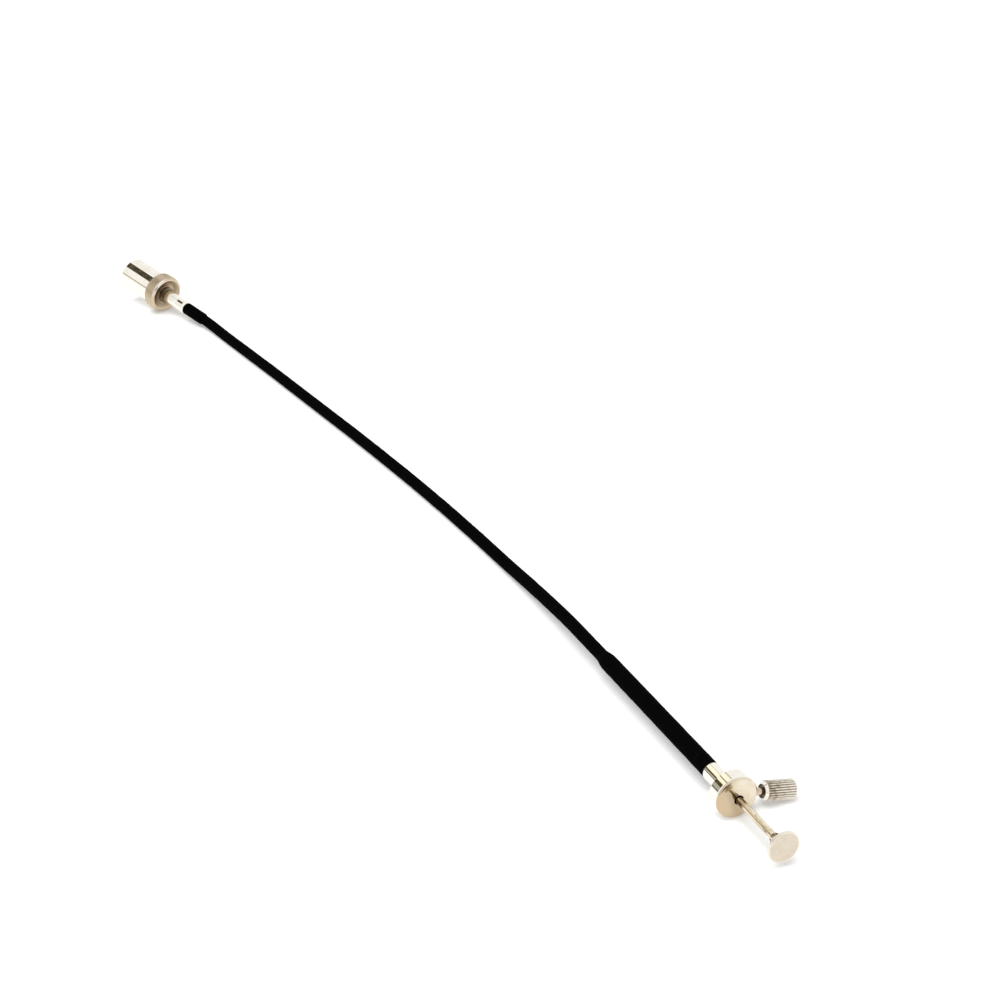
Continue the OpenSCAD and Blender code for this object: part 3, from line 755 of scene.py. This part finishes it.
@made_once
def worn_rod():
    """Nickel rod worn by its bush: brown mottling drawn out along the rod, and bright rubbed streaks. Near the plate
    its sides are painted dark as shade, while its top stays bright.
    """
    f = Finish("worn_rod", FRAMES["trigger"])
    rod_radius = 1.05 * MM
    _, along = f.round()
    drawn = f.vector("MULTIPLY", f.place, (1.0, 1.0, 0.22))
    streaks = f.noise(drawn, 1900.0, 4.0, 0.6)
    blotch = f.noise(drawn, 620.0, 5.0, 0.65)
    # Painted shade: near the plate the rod is darkened everywhere but along its top.
    upper = f.side(0, -0.5, 0.87)
    crown = f.plus(f.math("DIVIDE", upper, rod_radius), f.span(blotch, 0.3, 0.7, -0.04, 0.04))
    rod_side_shade = f.times(f.span(crown, 0.93, 0.98, 1.0, 0.0), f.reach(along, 3.8, 5, 1.0, 0.0))
    spots = f.most(f.span(blotch, 0.4, 0.6, 0.0, 0.9), f.times(rod_side_shade, 0.9))
    brown = f.mix(spots, "rubbed", "tarnish")
    grime_and_shade = f.most(f.span(streaks, 0.56, 0.68, 0.0, 0.8), f.times(rod_side_shade, 0.95))
    base = f.mix(grime_and_shade, brown, "grime_and_shade")
    rough = f.span(streaks, 0.3, 0.7, 0.1, 0.3)
    return f.finish(base, rough, height=streaks, depth=0.006)


@made_once
def plain_metal(name, where, tint, low, high):
    """Steel, brass or blackened metal with turning marks and a little unevenness."""
    f = Finish(name + "_" + where, FRAMES[where])
    base_colour = getattr(colours(), tint)
    cloud = f.noise(f.object, 500.0, 4.0, 0.6)
    deeper = [c * 0.55 for c in base_colour]
    base = f.mix(f.span(cloud, 0.35, 0.75, 0.0, 0.7), base_colour, deeper)
    rough = f.span(f.noise(f.object, 1300.0, 3.0), 0.3, 0.7, low, high)
    return f.finish(base, rough, height=f.lathe_marks(0.06), depth=0.0012)


def dark_metal():
    return plain_metal("dark_metal", "trigger", "dark", 0.3, 0.45)


@made_once
def black_cloth(name, threads):
    """Black cloth braided in two crossing sets of threads, with a soft nap."""
    f = Finish(name)
    uv = f.add("SeparateXYZ", Vector=f.add("TexCoord").outputs["UV"]).outputs
    round_it = f.times(uv["X"], threads)
    along = f.times(uv["Y"], threads)
    one = f.plus(round_it, along)
    two = f.math("SUBTRACT", round_it, along)
    ridge_one, ridge_two = (f.math("ABSOLUTE", f.math("SINE", f.times(way, math.pi))) for way in (one, two))
    over = f.math("PINGPONG", f.plus(f.math("FLOOR", one), f.math("FLOOR", two)), 1.0)
    weave = f.plus(f.times(ridge_one, over), f.times(ridge_two, f.math("SUBTRACT", 1.0, over)))
    nap = f.noise(f.object, 5200.0, 4.0, 0.7)
    height = f.plus(f.times(weave, 0.6), f.times(nap, 0.8))
    lint = f.span(f.noise(f.object, 2300.0, 1.0), 0.79, 0.83)
    # Painted highlight: the raised threads take the lighter cloth highlight colour.
    base = f.mix(f.span(height, 0.5, 1.3), "cloth", "thread")
    base = f.mix(f.times(lint, 0.5), base, (0.16, 0.15, 0.14))
    f.shader.inputs["Sheen Weight"].default_value = 0.003
    f.shader.inputs["Sheen Roughness"].default_value = 0.5
    f.shader.inputs["Specular IOR Level"].default_value = 0.01
    return f.finish(base, 0.95, metallic=0.0, height=height, depth=0.06)


# Stage


def sky_point(azimuth, elevation, distance):
    """A point at an azimuth round Z from +X and an elevation, in degrees."""
    a, e = math.radians(azimuth), math.radians(elevation)
    return Vector((math.cos(a) * math.cos(e), math.sin(a) * math.cos(e), math.sin(e))) * distance


VIEW_FROM = Vector((0.5968, -0.2315, 0.3282))
VIEW_ALONG = Vector((-0.81436, 0.36379, -0.45218))
FOCAL_LENGTH, SENSOR_WIDTH = 80.3, 36.0
CARD_DISTANCE = 20


def mirrored(place, axis, angle, aside):
    """A far point that the camera sees in a polished round, at an angle round its axis and some degrees along it."""
    level = axis.cross(Vector((0, 0, 1))).normalized()
    normal = math.cos(math.radians(angle)) * level + math.sin(math.radians(angle)) * level.cross(axis)
    seen = (place - VIEW_FROM).normalized()
    back = seen - 2 * seen.dot(normal) * normal
    return (back + math.tan(math.radians(aside)) * axis).normalized() * CARD_DISTANCE


def round_card(name, place, axis, low, high, spread, tint):
    """A card that a polished round shows as a lengthwise band between two angles. Its spread is in degrees along it."""
    count = max(2, round((high - low) / 4) + 1)
    angles = [low + (high - low) * n / (count - 1) for n in range(count)]
    rows = [[mirrored(place, axis, angle, aside) for aside in spread] for angle in angles]
    return card(name, rows, tint)


def card(name, rows, tint):
    """A studio card, built from rows of two points, that only shows in polished metal."""
    mesh = bpy.data.meshes.new(name)
    faces = [(2 * n, 2 * n + 1, 2 * n + 3, 2 * n + 2) for n in range(len(rows) - 1)]
    mesh.from_pydata([point for row in rows for point in row], [], faces)
    piece = bpy.data.objects.new(name, mesh)
    bpy.context.scene.collection.objects.link(piece)
    material = bpy.data.materials.new(name)
    material.use_nodes = True
    tree = material.node_tree
    tree.nodes.clear()
    glow = tree.nodes.new("ShaderNodeEmission")
    glow.inputs["Color"].default_value = (*tint, 1)
    output = tree.nodes.new("ShaderNodeOutputMaterial")
    tree.links.new(glow.outputs[0], output.inputs["Surface"])
    mesh.materials.append(material)
    for rays in ("camera", "diffuse", "transmission", "volume_scatter", "shadow"):
        setattr(piece, "visible_" + rays, False)
    return piece


def background_rays(tree):
    """1 for the rays that show the background as it is: camera, glossy and transmission."""
    path = tree.nodes.new("ShaderNodeLightPath")
    seen = path.outputs["Is Camera Ray"]
    for name in ("Is Glossy Ray", "Is Transmission Ray"):
        most = tree.nodes.new("ShaderNodeMath")
        most.operation = "MAXIMUM"
        tree.links.new(seen, most.inputs[0])
        tree.links.new(path.outputs[name], most.inputs[1])
        seen = most.outputs[0]
    return seen


class ReleaseStage(bpy.types.PropertyGroup):
    sky: FloatProperty(name="Sky light", description="Light of the white studio on the object", default=0.35, min=0)
    lamp: FloatProperty(name="Lamp", description="Strength of the overhead softbox", default=2.1, min=0)
    lamp_spread: FloatProperty(
        name="Lamp spread", description="Angle that the softbox fills", default=math.radians(45), subtype="ANGLE"
    )
    floor_glow: FloatProperty(name="Floor glow", description="Glow that keeps the floor white", default=0.3, min=0)
    floor_size: length("Floor size", 8000, "Side of the floor")


class RELEASE_OT_stage(bpy.types.Operator):
    """Makes the white floor, the studio light and the camera"""

    bl_idname = "release.stage"
    bl_label = "Stage"

    def execute(self, context):
        scene, stage = context.scene, context.scene.release_stage
        scene.view_settings.view_transform = "Standard"
        world = bpy.data.worlds.new("studio")
        scene.world = world
        world.use_nodes = True
        tree = world.node_tree
        sky = tree.nodes["Background"]
        sky.inputs["Color"].default_value = (1, 1, 1, 1)
        lit = tree.nodes.new("ShaderNodeMapRange")
        tree.links.new(background_rays(tree), lit.inputs["Value"])
        lit.inputs["To Min"].default_value = stage.sky
        lit.inputs["To Max"].default_value = 1.0
        tree.links.new(lit.outputs[0], sky.inputs["Strength"])

        fresh()
        bpy.ops.mesh.primitive_plane_add(size=stage.floor_size, location=(0, 0, -0.02 * MM))
        floor = context.object
        floor.name = "studio_floor"
        material = bpy.data.materials.new("studio_floor")
        material.use_nodes = True
        tree = material.node_tree
        paper = tree.nodes["Principled BSDF"]
        paper.inputs["Base Color"].default_value = (0.9, 0.9, 0.9, 1)
        paper.inputs["Roughness"].default_value = 1.0
        paper.inputs["Specular IOR Level"].default_value = 0.0
        paper.inputs["Emission Color"].default_value = (1, 1, 1, 1)
        glow = tree.nodes.new("ShaderNodeMath")
        glow.operation = "MULTIPLY"
        tree.links.new(background_rays(tree), glow.inputs[0])
        glow.inputs[1].default_value = stage.floor_glow
        tree.links.new(glow.outputs[0], paper.inputs["Emission Strength"])
        floor.data.materials.append(material)

        light = bpy.data.lights.new("softbox", "SUN")
        light.energy, light.angle = stage.lamp, stage.lamp_spread
        lamp = bpy.data.objects.new("softbox", light)
        scene.collection.objects.link(lamp)
        lamp.location = sky_point(-68, 70, 1)
        lamp.rotation_euler = (-lamp.location).to_track_quat("-Z", "Y").to_euler()
        lamp.visible_glossy = False

        # Glowing cards that show only in the metal: painted reflections, set as bands on the bell and on the plate's
        # rim, and as patches on the plate's face.
        bell = on_axis(BELL, 4 * MM)
        round_card("ceiling_gap", bell, BELL_DIR, 112, 133, (-3, 5), (0.06, 0.044, 0.021))
        round_card("low_edge", bell, BELL_DIR, 157, 161.4, (-3, 5), (0.5, 0.45, 0.34))
        rim = on_axis(TRIGGER, -2 * MM)
        for name, low, high, tint in (
            ("dark_edge", 28, 31, (0.05, 0.04, 0.02)),
            ("grey_wall", 31, 41, (0.46, 0.44, 0.36)),
            ("olive_wall", 41, 50, (0.07, 0.055, 0.02)),
            ("golden_wall", 50, 72, (1.12, 1.08, 0.86)),
            ("seam", 74, 76, (0.3, 0.26, 0.18)),
        ):
            round_card(name, rim, TRIGGER_DIR, low, high, (-5, 5), tint)
        rows = [[sky_point(azimuth, e, CARD_DISTANCE) for e in (3, 38)] for azimuth in (-46, -34, -22, -11, 0)]
        card("camera_side", rows, (0.05, 0.035, 0.02))
        front = TRIGGER.translation
        rows = [[front + sky_point(azimuth, e, 0.3) for e in (-1.1, 13)] for azimuth in (-4, 3, 9)]
        card("camera_side_edge", rows, (0.42, 0.34, 0.25))

        lens = bpy.data.cameras.new("camera")
        lens.lens, lens.sensor_width, lens.sensor_fit = FOCAL_LENGTH, SENSOR_WIDTH, "HORIZONTAL"
        lens.clip_start, lens.clip_end = 0.01, 50
        camera = bpy.data.objects.new("camera", lens)
        scene.collection.objects.link(camera)
        camera.location = VIEW_FROM
        camera.rotation_euler = VIEW_ALONG.to_track_quat("-Z", "Y").to_euler()
        scene.camera = camera
        return {"FINISHED"}


# Cable


def cable_ends(cable):
    """Where the free cable leaves the barrel, and where it enters the tip."""
    trigger = InMillimetres(bpy.context.scene.release_trigger)
    bell = InMillimetres(bpy.context.scene.release_bell)
    barrel_end = -(trigger.plate_t + trigger.ferrule_l) * MM - cable.barrel_l
    tip_end = -bell.neck_l * MM - cable.tip_l
    return on_axis(TRIGGER, barrel_end), on_axis(BELL, tip_end)


class RELEASE_OT_cable(bpy.types.Operator):
    """Makes the free cable: its cloth, the wound conduit under it and the core wire"""

    bl_idname = "release.cable"
    bl_label = "Cable"

    def execute(self, context):
        cable = context.scene.release_cable
        out, back = cable_ends(cable)
        out_mm, back_mm = out / MM, back / MM
        ways = (-TRIGGER_DIR, BELL_DIR)
        route = smooth_route((out_mm, *CABLE_ROUTE, back_mm), *ways, 0.22)
        cloth = skin(
            "cable_cover", route, headings(route, *ways), [cable.cable_d / 2] * len(route), 36,
            cloth_surface(cable.lump, 3.7),
        )
        settle_cloth(cloth, "cable_cloth", 26.0)

        # The conduit is wound wire, so its surface is ridged; it runs on into the barrel and the tip
        plug = on_axis(TRIGGER, PLUG_MIDDLE * MM)
        tip = on_axis(BELL, TIP_TUBE_MIDDLE * MM)
        inner = smooth_route((plug / MM, out_mm, *CABLE_ROUTE, back_mm, tip / MM), *ways, 0.2)
        ridge = lambda walked, angle: -0.05 * MM * abs(math.sin(math.pi * walked / (0.8 * MM)))
        conduit = skin("wound_conduit", inner, headings(inner, *ways), [cable.conduit_d / 2] * len(inner), 12, ridge)
        steel = plain_metal("steel", "trigger", "steel", 0.2, 0.35)
        settle(conduit, Matrix(), "root", steel, ["conduit"], 40, False)

        # The core wire bends with the cable.
        crimp = on_axis(BELL, CRIMP_MIDDLE * MM)
        rear = smooth_route((plug / MM, out_mm, *CABLE_ROUTE, back_mm, crimp / MM), *ways, 1.0)
        wire = skin("core_wire_rear", rear, headings(rear, *ways), [cable.core_d / 2] * len(rear), 10, lambda w, a: 0)
        settle(wire, Matrix(), "root", dark_metal(), ["core_wire"], 40, False)
        cable.cable_d
        return {"FINISHED"}


class RELEASE_OT_barrel_cover(bpy.types.Operator):
    """Makes the thick cloth cover of the barrel, with its shoulder at the cable"""

    bl_idname = "release.barrel_cover"
    bl_label = "Barrel cover"

    def execute(self, context):
        cable, trigger = context.scene.release_cable, context.scene.release_trigger
        front = -trigger.plate_t - 3.4 * MM
        mouth = -trigger.plate_t - trigger.ferrule_l
        end = mouth - cable.barrel_l
        tucked = trigger.ferrule_d / 2 - 0.26 * MM
        stations = [front]
        while stations[-1] > end + 0.11 * MM:
            stations.append(stations[-1] - 0.22 * MM)
        stations.append(end)
        radii = []
        for z in stations:
            walked = mouth - z
            bare = step_down(walked, cable.barrel_l - cable.barrel_shoulder, cable.barrel_shoulder,
                             cable.barrel_d / 2, cable.cable_d / 2)
            radii.append(tucked if walked < 0 else min(bare, tucked + 0.4 * walked))
        route = [on_axis(TRIGGER, z) for z in stations]
        rough = cloth_surface(cable.lump, 11.2)
        surface = lambda walked, angle: rough(walked, angle) if walked > (front - mouth) else 0
        cover = skin("barrel_cover", route, [-TRIGGER_DIR] * len(route), radii, 48, surface)
        settle_cloth(cover, "barrel_cloth", 34.0)
        return {"FINISHED"}


class RELEASE_OT_tip_cover(bpy.types.Operator):
    """Makes the thick cloth cover of the cable's tip"""

    bl_idname = "release.tip_cover"
    bl_label = "Tip cover"

    def execute(self, context):
        cable, bell = context.scene.release_cable, context.scene.release_bell
        stations = []
        while not stations or stations[-1] > -cable.tip_l + 0.11 * MM:
            stations.append(-0.22 * MM * len(stations))
        stations.append(-cable.tip_l)
        radii = [
            step_down(-z, cable.tip_l - cable.tip_shoulder, cable.tip_shoulder, cable.tip_d / 2, cable.cable_d / 2)
            for z in stations
        ]
        route = [on_axis(BELL, z - bell.neck_l) for z in stations]
        cover = skin("tip_cover", route, [-BELL_DIR] * len(route), radii, 44, cloth_surface(cable.lump, 23.9))
        settle_cloth(cover, "tip_cloth", 30.0)
        return {"FINISHED"}


# Trigger


class RELEASE_OT_finger_plate(bpy.types.Operator):
    """Turns the finger plate and bores it for the lock screw"""

    bl_idname = "release.finger_plate"
    bl_label = "Finger plate"

    def execute(self, context):
        s, lock = InMillimetres(context.scene.release_trigger), InMillimetres(context.scene.release_lock)
        r, t, seat, c, bore = s.plate_d / 2, s.plate_t, 0.8, 0.3, s.plate_bore_d / 2
        plate = turn("turned_finger_plate", [
            (bore, seat - t), (s.tube_d / 2, seat - t), (s.tube_d / 2, -t), (r - c, -t), (r, c - t), (r, -c),
            *dome(r - c, bore, s.plate_dome),
        ], 160)
        soften(plate, 0.05, 16)
        hole = turn("screw_hole", [
            (0, 0.8), (lock.shank_d / 2 + 0.05, 0.8), (lock.shank_d / 2 + 0.05, r + 1), (0, r + 1)
        ], 48)
        fresh(hole)
        hole.matrix_world = TRIGGER.inverted() @ LOCK
        cut(plate, hole)
        settle(plate, TRIGGER, "root", plate_nickel(), ["finger_plate"], 16)
        return {"FINISHED"}


class RELEASE_OT_ferrule(bpy.types.Operator):
    """Turns the polished ferrule that grips the guide tube and tucks in the cloth"""

    bl_idname = "release.ferrule"
    bl_label = "Ferrule"

    def execute(self, context):
        s = InMillimetres(context.scene.release_trigger)
        r, back, wall = s.ferrule_d / 2, -s.plate_t - s.ferrule_l, 0.25
        ferrule = turn("turned_ferrule", [
            (s.tube_d / 2, -s.plate_t), (r, -s.plate_t), (r, back + 0.12), (r - 0.12, back), (r - wall, back),
            (r - wall, -s.plate_t - 3), (s.tube_d / 2, -s.plate_t - 3),
        ], 128, 0.03)
        settle(ferrule, TRIGGER, "root", polished_nickel("trigger"), ["barrel_ferrule"])
        return {"FINISHED"}


class RELEASE_OT_plunger(bpy.types.Operator):
    """Turns the thumb button, its collar and the plunger rod"""

    bl_idname = "release.plunger"
    bl_label = "Plunger"

    def execute(self, context):
        s = InMillimetres(context.scene.release_trigger)
        rod, out = s.rod_d / 2, s.rod_out
        back = out + s.collar_l
        face, r = back + s.button_t, s.button_d / 2
        button = turn("turned_thumb_button", [
            (0, back + s.button_t / 2), (rod, back + s.button_t / 2), (rod, back), (r - 0.2, back), (r, back + 0.2),
            (r, face - 0.12), (r - 0.12, face), (0, face),
        ], 144, 0.04)
        settle(button, TRIGGER, "plunger", satin_nickel("trigger", r), ["thumb_button"])
        c, g, waist = s.collar_d / 2, s.collar_l / 6, (s.collar_d / 2 + rod) / 2
        collar = turn("turned_collar", [
            (rod, out), (waist, out), (c, out + g / 2), (c, out + 2 * g), (waist, out + 2.5 * g),
            (waist, out + 3 * g), (c, out + 3.5 * g), (c, back), (rod, back),
        ], 72, 0.04)
        settle(collar, TRIGGER, "plunger", collar_nickel(out, back, waist, c), ["button_collar"])
        tail, step = -9.4, -7.4
        stem = turn("turned_plunger_rod", [
            (0, tail), (rod * 2 / 3, tail), (rod * 2 / 3, step), (rod, step), (rod, back + s.button_t / 2),
            (0, back + s.button_t / 2),
        ], 64, 0.03)
        settle(stem, TRIGGER, "plunger", worn_rod(), ["plunger_rod"])
        return {"FINISHED"}


class RELEASE_OT_return_spring(bpy.types.Operator):
    """Winds the return spring, and draws the part of the core wire that runs through it"""

    bl_idname = "release.return_spring"
    bl_label = "Return spring"

    def execute(self, context):
        s, sizes = InMillimetres(context.scene.release_trigger), context.scene.release_trigger
        seat, wire = 0.22, s.spring_wire / 2
        start, end = PLUG_FRONT + seat, PISTON_BACK - seat
        mean = s.spring_d / 2 - wire
        section = [
            (mean + wire * math.cos(a), start + wire * math.sin(a))
            for a in (2 * math.pi * n / 10 for n in range(10))
        ]
        pitch = (end - start) / sizes.spring_turns
        spring = wind("wound_return_spring", section, pitch, sizes.spring_turns, 28)
        spring_steel = plain_metal("spring_steel", "trigger", "steel", 0.18, 0.3)
        settle(spring, TRIGGER, "root", spring_steel, ["return_spring"], 50, False)
        core = context.scene.release_cable.core_d / MM / 2
        front = turn("core_wire_front", [
            (0, PLUG_MIDDLE), (core, PLUG_MIDDLE), (core, PISTON_BACK), (0, PISTON_BACK)
        ], 24)
        settle(front, TRIGGER, "root", dark_metal(), ["core_wire"])
        stroke = JOINTS["plunger_push"]["range_m"][1]
        for piece, low in ((spring, PLUG_FRONT), (front, PLUG_MIDDLE)):
            run = (PISTON_BACK - low) * MM
            tuple(on_axis(TRIGGER, low * MM))
            (run - stroke) / run
            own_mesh(piece)
        return {"FINISHED"}


class RELEASE_OT_lock_screw(bpy.types.Operator):
    """Turns the lock screw's shank and its fluted knob"""

    bl_idname = "release.lock_screw"
    bl_label = "Lock screw"

    def execute(self, context):
        s, sizes = InMillimetres(context.scene.release_lock), context.scene.release_lock
        r, root, outer = s.shank_d / 2, s.shank_d / 2 - 0.17, 12.6
        shank = turn("turned_lock_shank", [
            (0, 1.58), (0.62, 1.58), (0.7, 1.66), (0.7, 2.08), (r - 0.15, 2.08), (r, 2.23), (r, outer), (0, outer)
        ], 64)
        groove = wind("thread_groove", [(root, 1.9), (r + 0.08, 2.1), (r + 0.08, 1.7)], s.pitch, 8, 48)
        cut(shank, groove)
        settle(shank, LOCK, "lock_shank", plain_metal("steel", "lock", "blush", 0.14, 0.28), ["lock_screw"])

        k, top, end = s.knob_d / 2, s.knob_at, s.knob_at + s.knob_l
        base, bore = k - s.flute_depth, r + 0.03
        steps = 8 * sizes.flutes
        knob = turn("fluted_lock_knob", [
            (0, top + 4), (bore, top + 4), (bore, top + 0.5), (base - 0.62, top + 0.5), (base - 0.62, top),
            (base - 0.5, top), (base, top + 0.5), (base, top + 0.62), (k, top + 0.72), (k, end - 0.52),
            (base, end - 0.42), (base, end - 0.3), (base - 0.3, end), (0, end),
        ], steps)
        d = s.flute_depth
        flute(knob, k, steps, (d, 0.85 * d, 0.4 * d, 0.08 * d, 0, 0.08 * d, 0.4 * d, 0.85 * d), top, end)
        finish = knob_nickel(top, top + 0.66, end - 0.46, base, k)
        settle(knob, LOCK, "lock_grip", finish, ["lock_knob"], 34)
        return {"FINISHED"}


# Bell


class RELEASE_OT_grip_ring(bpy.types.Operator):
    """Turns the grip ring with its round rim and dished back, and knurls its band"""

    bl_idname = "release.grip_ring"
    bl_label = "Grip ring"

    def execute(self, context):
        s, sizes = InMillimetres(context.scene.release_bell), context.scene.release_bell
        k = s.ring_d / 2
        root, w, cup = k - s.knurl_depth, s.ring_w, s.cup_d / 2
        rim = [
            (root - 0.8 * (1 - math.sin(a)), 0.8 * (1 - math.cos(a)))
            for a in (math.pi / 2 * n / 8 for n in range(9))
        ]
        steps = 4 * sizes.teeth
        ring = turn("knurled_grip_ring", [
            (2.25, 2.4), (2.25, 0.64), (2.29, 0.6), (3.8, 0.6), (3.9, 0.7), (3.9, 1.2), (4.5, 1.2), (4.8, 1.06),
            (5.15, 0.76), (5.5, 0.44), (5.75, 0.23), (5.95, 0.1), (6.09, 0.03), *rim, (root, 0.93), (k, 1.02),
            (k, w - 0.52), (root, w - 0.43), (root, w - 0.3), (root - 0.3, w), (cup, w), (cup, 2.4),
        ], steps)
        d = s.knurl_depth
        flute(ring, k, steps, (d, 0.1 * d, 0, 0.1 * d), 0.98, w - 0.48)
        settle(ring, BELL, "bell", grip_nickel(), ["grip_ring"], 32)
        return {"FINISHED"}


class RELEASE_OT_bell_cup(bpy.types.Operator):
    """Turns the bell's cup and cuts the thread in its mouth"""

    bl_idname = "release.bell_cup"
    bl_label = "Bell cup"

    def execute(self, context):
        s = InMillimetres(context.scene.release_bell)
        r, end, crest, relief = s.cup_d / 2, s.bell_l, s.thread_d / 2, s.relief_d / 2
        back = end - s.thread_l
        cup = turn("turned_bell_cup", [
            (relief, 2.4), (r, 2.4), (r, end - 0.2), (r - 0.2, end), (crest + 0.4, end), (crest, end - 0.4),
            (crest, back), (relief, back - 0.4),
        ], 160)
        soften(cup, 0.04)
        pitch = s.thread_pitch
        turns = math.ceil((s.thread_l + 1.2) / pitch)
        groove = wind("thread_groove", [
            (relief - 0.02, back - 0.4), (crest - 0.12, back - 0.4 + 0.24), (crest - 0.12, back - 0.4 - 0.24)
        ], pitch, turns, 96)
        cut(cup, groove)
        settle(cup, BELL, "bell", polished_nickel("bell"), ["bell_cup"])
        return {"FINISHED"}


class RELEASE_OT_neck(bpy.types.Operator):
    """Turns the neck that carries the bell"""

    bl_idname = "release.neck"
    bl_label = "Neck"

    def execute(self, context):
        s = InMillimetres(context.scene.release_bell)
        end, cloth = s.neck_end_d / 2 + 0.05, -s.neck_l
        neck = turn("turned_neck", [
            (1.2, cloth - 2.9), (1.6, cloth - 2.9), (1.6, cloth), (end - 0.04, cloth), (end, cloth + 0.1),
            (end - 0.12, cloth + 2), (end - 0.12, cloth + 4.7), (s.neck_d / 2 + 0.02, -0.5), (3.2, -0.5), (3.2, 0.5),
            (2.2, 0.5), (2.2, 2.5), (1.9, 2.5), (1.9, 3.7), (1.3, 3.7), (1.3, 1), (1.2, 1),
        ], 128, 0.04)
        settle(neck, BELL, "root", neck_nickel(), ["neck_stem"])
        return {"FINISHED"}


class RELEASE_OT_release_pin(bpy.types.Operator):
    """Turns the pin that presses the camera's button"""

    bl_idname = "release.release_pin"
    bl_label = "Release pin"

    def execute(self, context):
        s = InMillimetres(context.scene.release_bell)
        r, front = s.pin_d / 2, 5.4
        pin = turn("turned_release_pin", [
            (0, front - s.pin_l), (r, front - s.pin_l), (r, front - 0.45), (r * 0.9, front - 0.2),
            (r * 0.68, front - 0.05), (r * 0.35, front), (0, front),
        ], 48)
        steel = plain_metal("steel", "bell", "steel", 0.12, 0.24)
        settle(pin, BELL, "release_pin", steel, ["release_pin"], 45)
        return {"FINISHED"}


class RELEASE_OT_inner_metal(bpy.types.Operator):
    """Gives the tubes, bushes and rings that keep the frame's own shape their finishes"""

    bl_idname = "release.inner_metal"
    bl_label = "Inner tubes and bushes"

    def execute(self, context):
        for where, nodes in (
            ("trigger", ("guide_tube", "end_plug", "plunger_head")),
            ("bell", ("tip_tube", "pin_guide", "wire_crimp")),
        ):
            for node in nodes:
                dress(node, plain_metal("brass", where, "brass", 0.2, 0.34))
        # Painted shade: the bush deep in the plate's bore takes the dark colour.
        dress("rod_bush", plain_metal("bore_shade_metal", "trigger", "grime_and_shade", 0.3, 0.45))
        dress("keeper_ring", satin_nickel("bell", 4))
        return {"FINISHED"}


# Panel and registration

OPERATORS = (
    RELEASE_OT_stage,
    RELEASE_OT_cable,
    RELEASE_OT_barrel_cover,
    RELEASE_OT_tip_cover,
    RELEASE_OT_finger_plate,
    RELEASE_OT_ferrule,
    RELEASE_OT_plunger,
    RELEASE_OT_return_spring,
    RELEASE_OT_lock_screw,
    RELEASE_OT_grip_ring,
    RELEASE_OT_bell_cup,
    RELEASE_OT_neck,
    RELEASE_OT_release_pin,
    RELEASE_OT_inner_metal,
)

GROUPS = {
    "release_trigger": ReleaseTriggerSizes,
    "release_lock": ReleaseLockSizes,
    "release_cable": ReleaseCableSizes,
    "release_bell": ReleaseBellSizes,
    "release_finishes": ReleaseFinishes,
    "release_stage": ReleaseStage,
}


class RELEASE_PT_panel(bpy.types.Panel):
    """Lists the release's pieces, sizes and colours"""

    bl_idname = "RELEASE_PT_panel"
    bl_label = "Cable Shutter Release"
    bl_space_type = "VIEW_3D"
    bl_region_type = "UI"
    bl_category = "Release"

    def draw(self, context):
        for operator in OPERATORS:
            self.layout.operator(operator.bl_idname)
        for name, group in GROUPS.items():
            box = self.layout.box()
            for prop in group.__annotations__:
                box.prop(getattr(context.scene, name), prop)


def register():
    for group in GROUPS.values():
        bpy.utils.register_class(group)
    for operator in OPERATORS:
        bpy.utils.register_class(operator)
    bpy.utils.register_class(RELEASE_PT_panel)
    for name, group in GROUPS.items():
        setattr(bpy.types.Scene, name, PointerProperty(type=group))


def unregister():
    for name in GROUPS:
        delattr(bpy.types.Scene, name)
    bpy.utils.unregister_class(RELEASE_PT_panel)
    for operator in reversed(OPERATORS):
        bpy.utils.unregister_class(operator)
    for group in GROUPS.values():
        bpy.utils.unregister_class(group)


def main():
    register()
    for operator in OPERATORS:
        getattr(bpy.ops.release, operator.bl_idname.split(".")[1])()


if __name__ == "__main__":
    main()
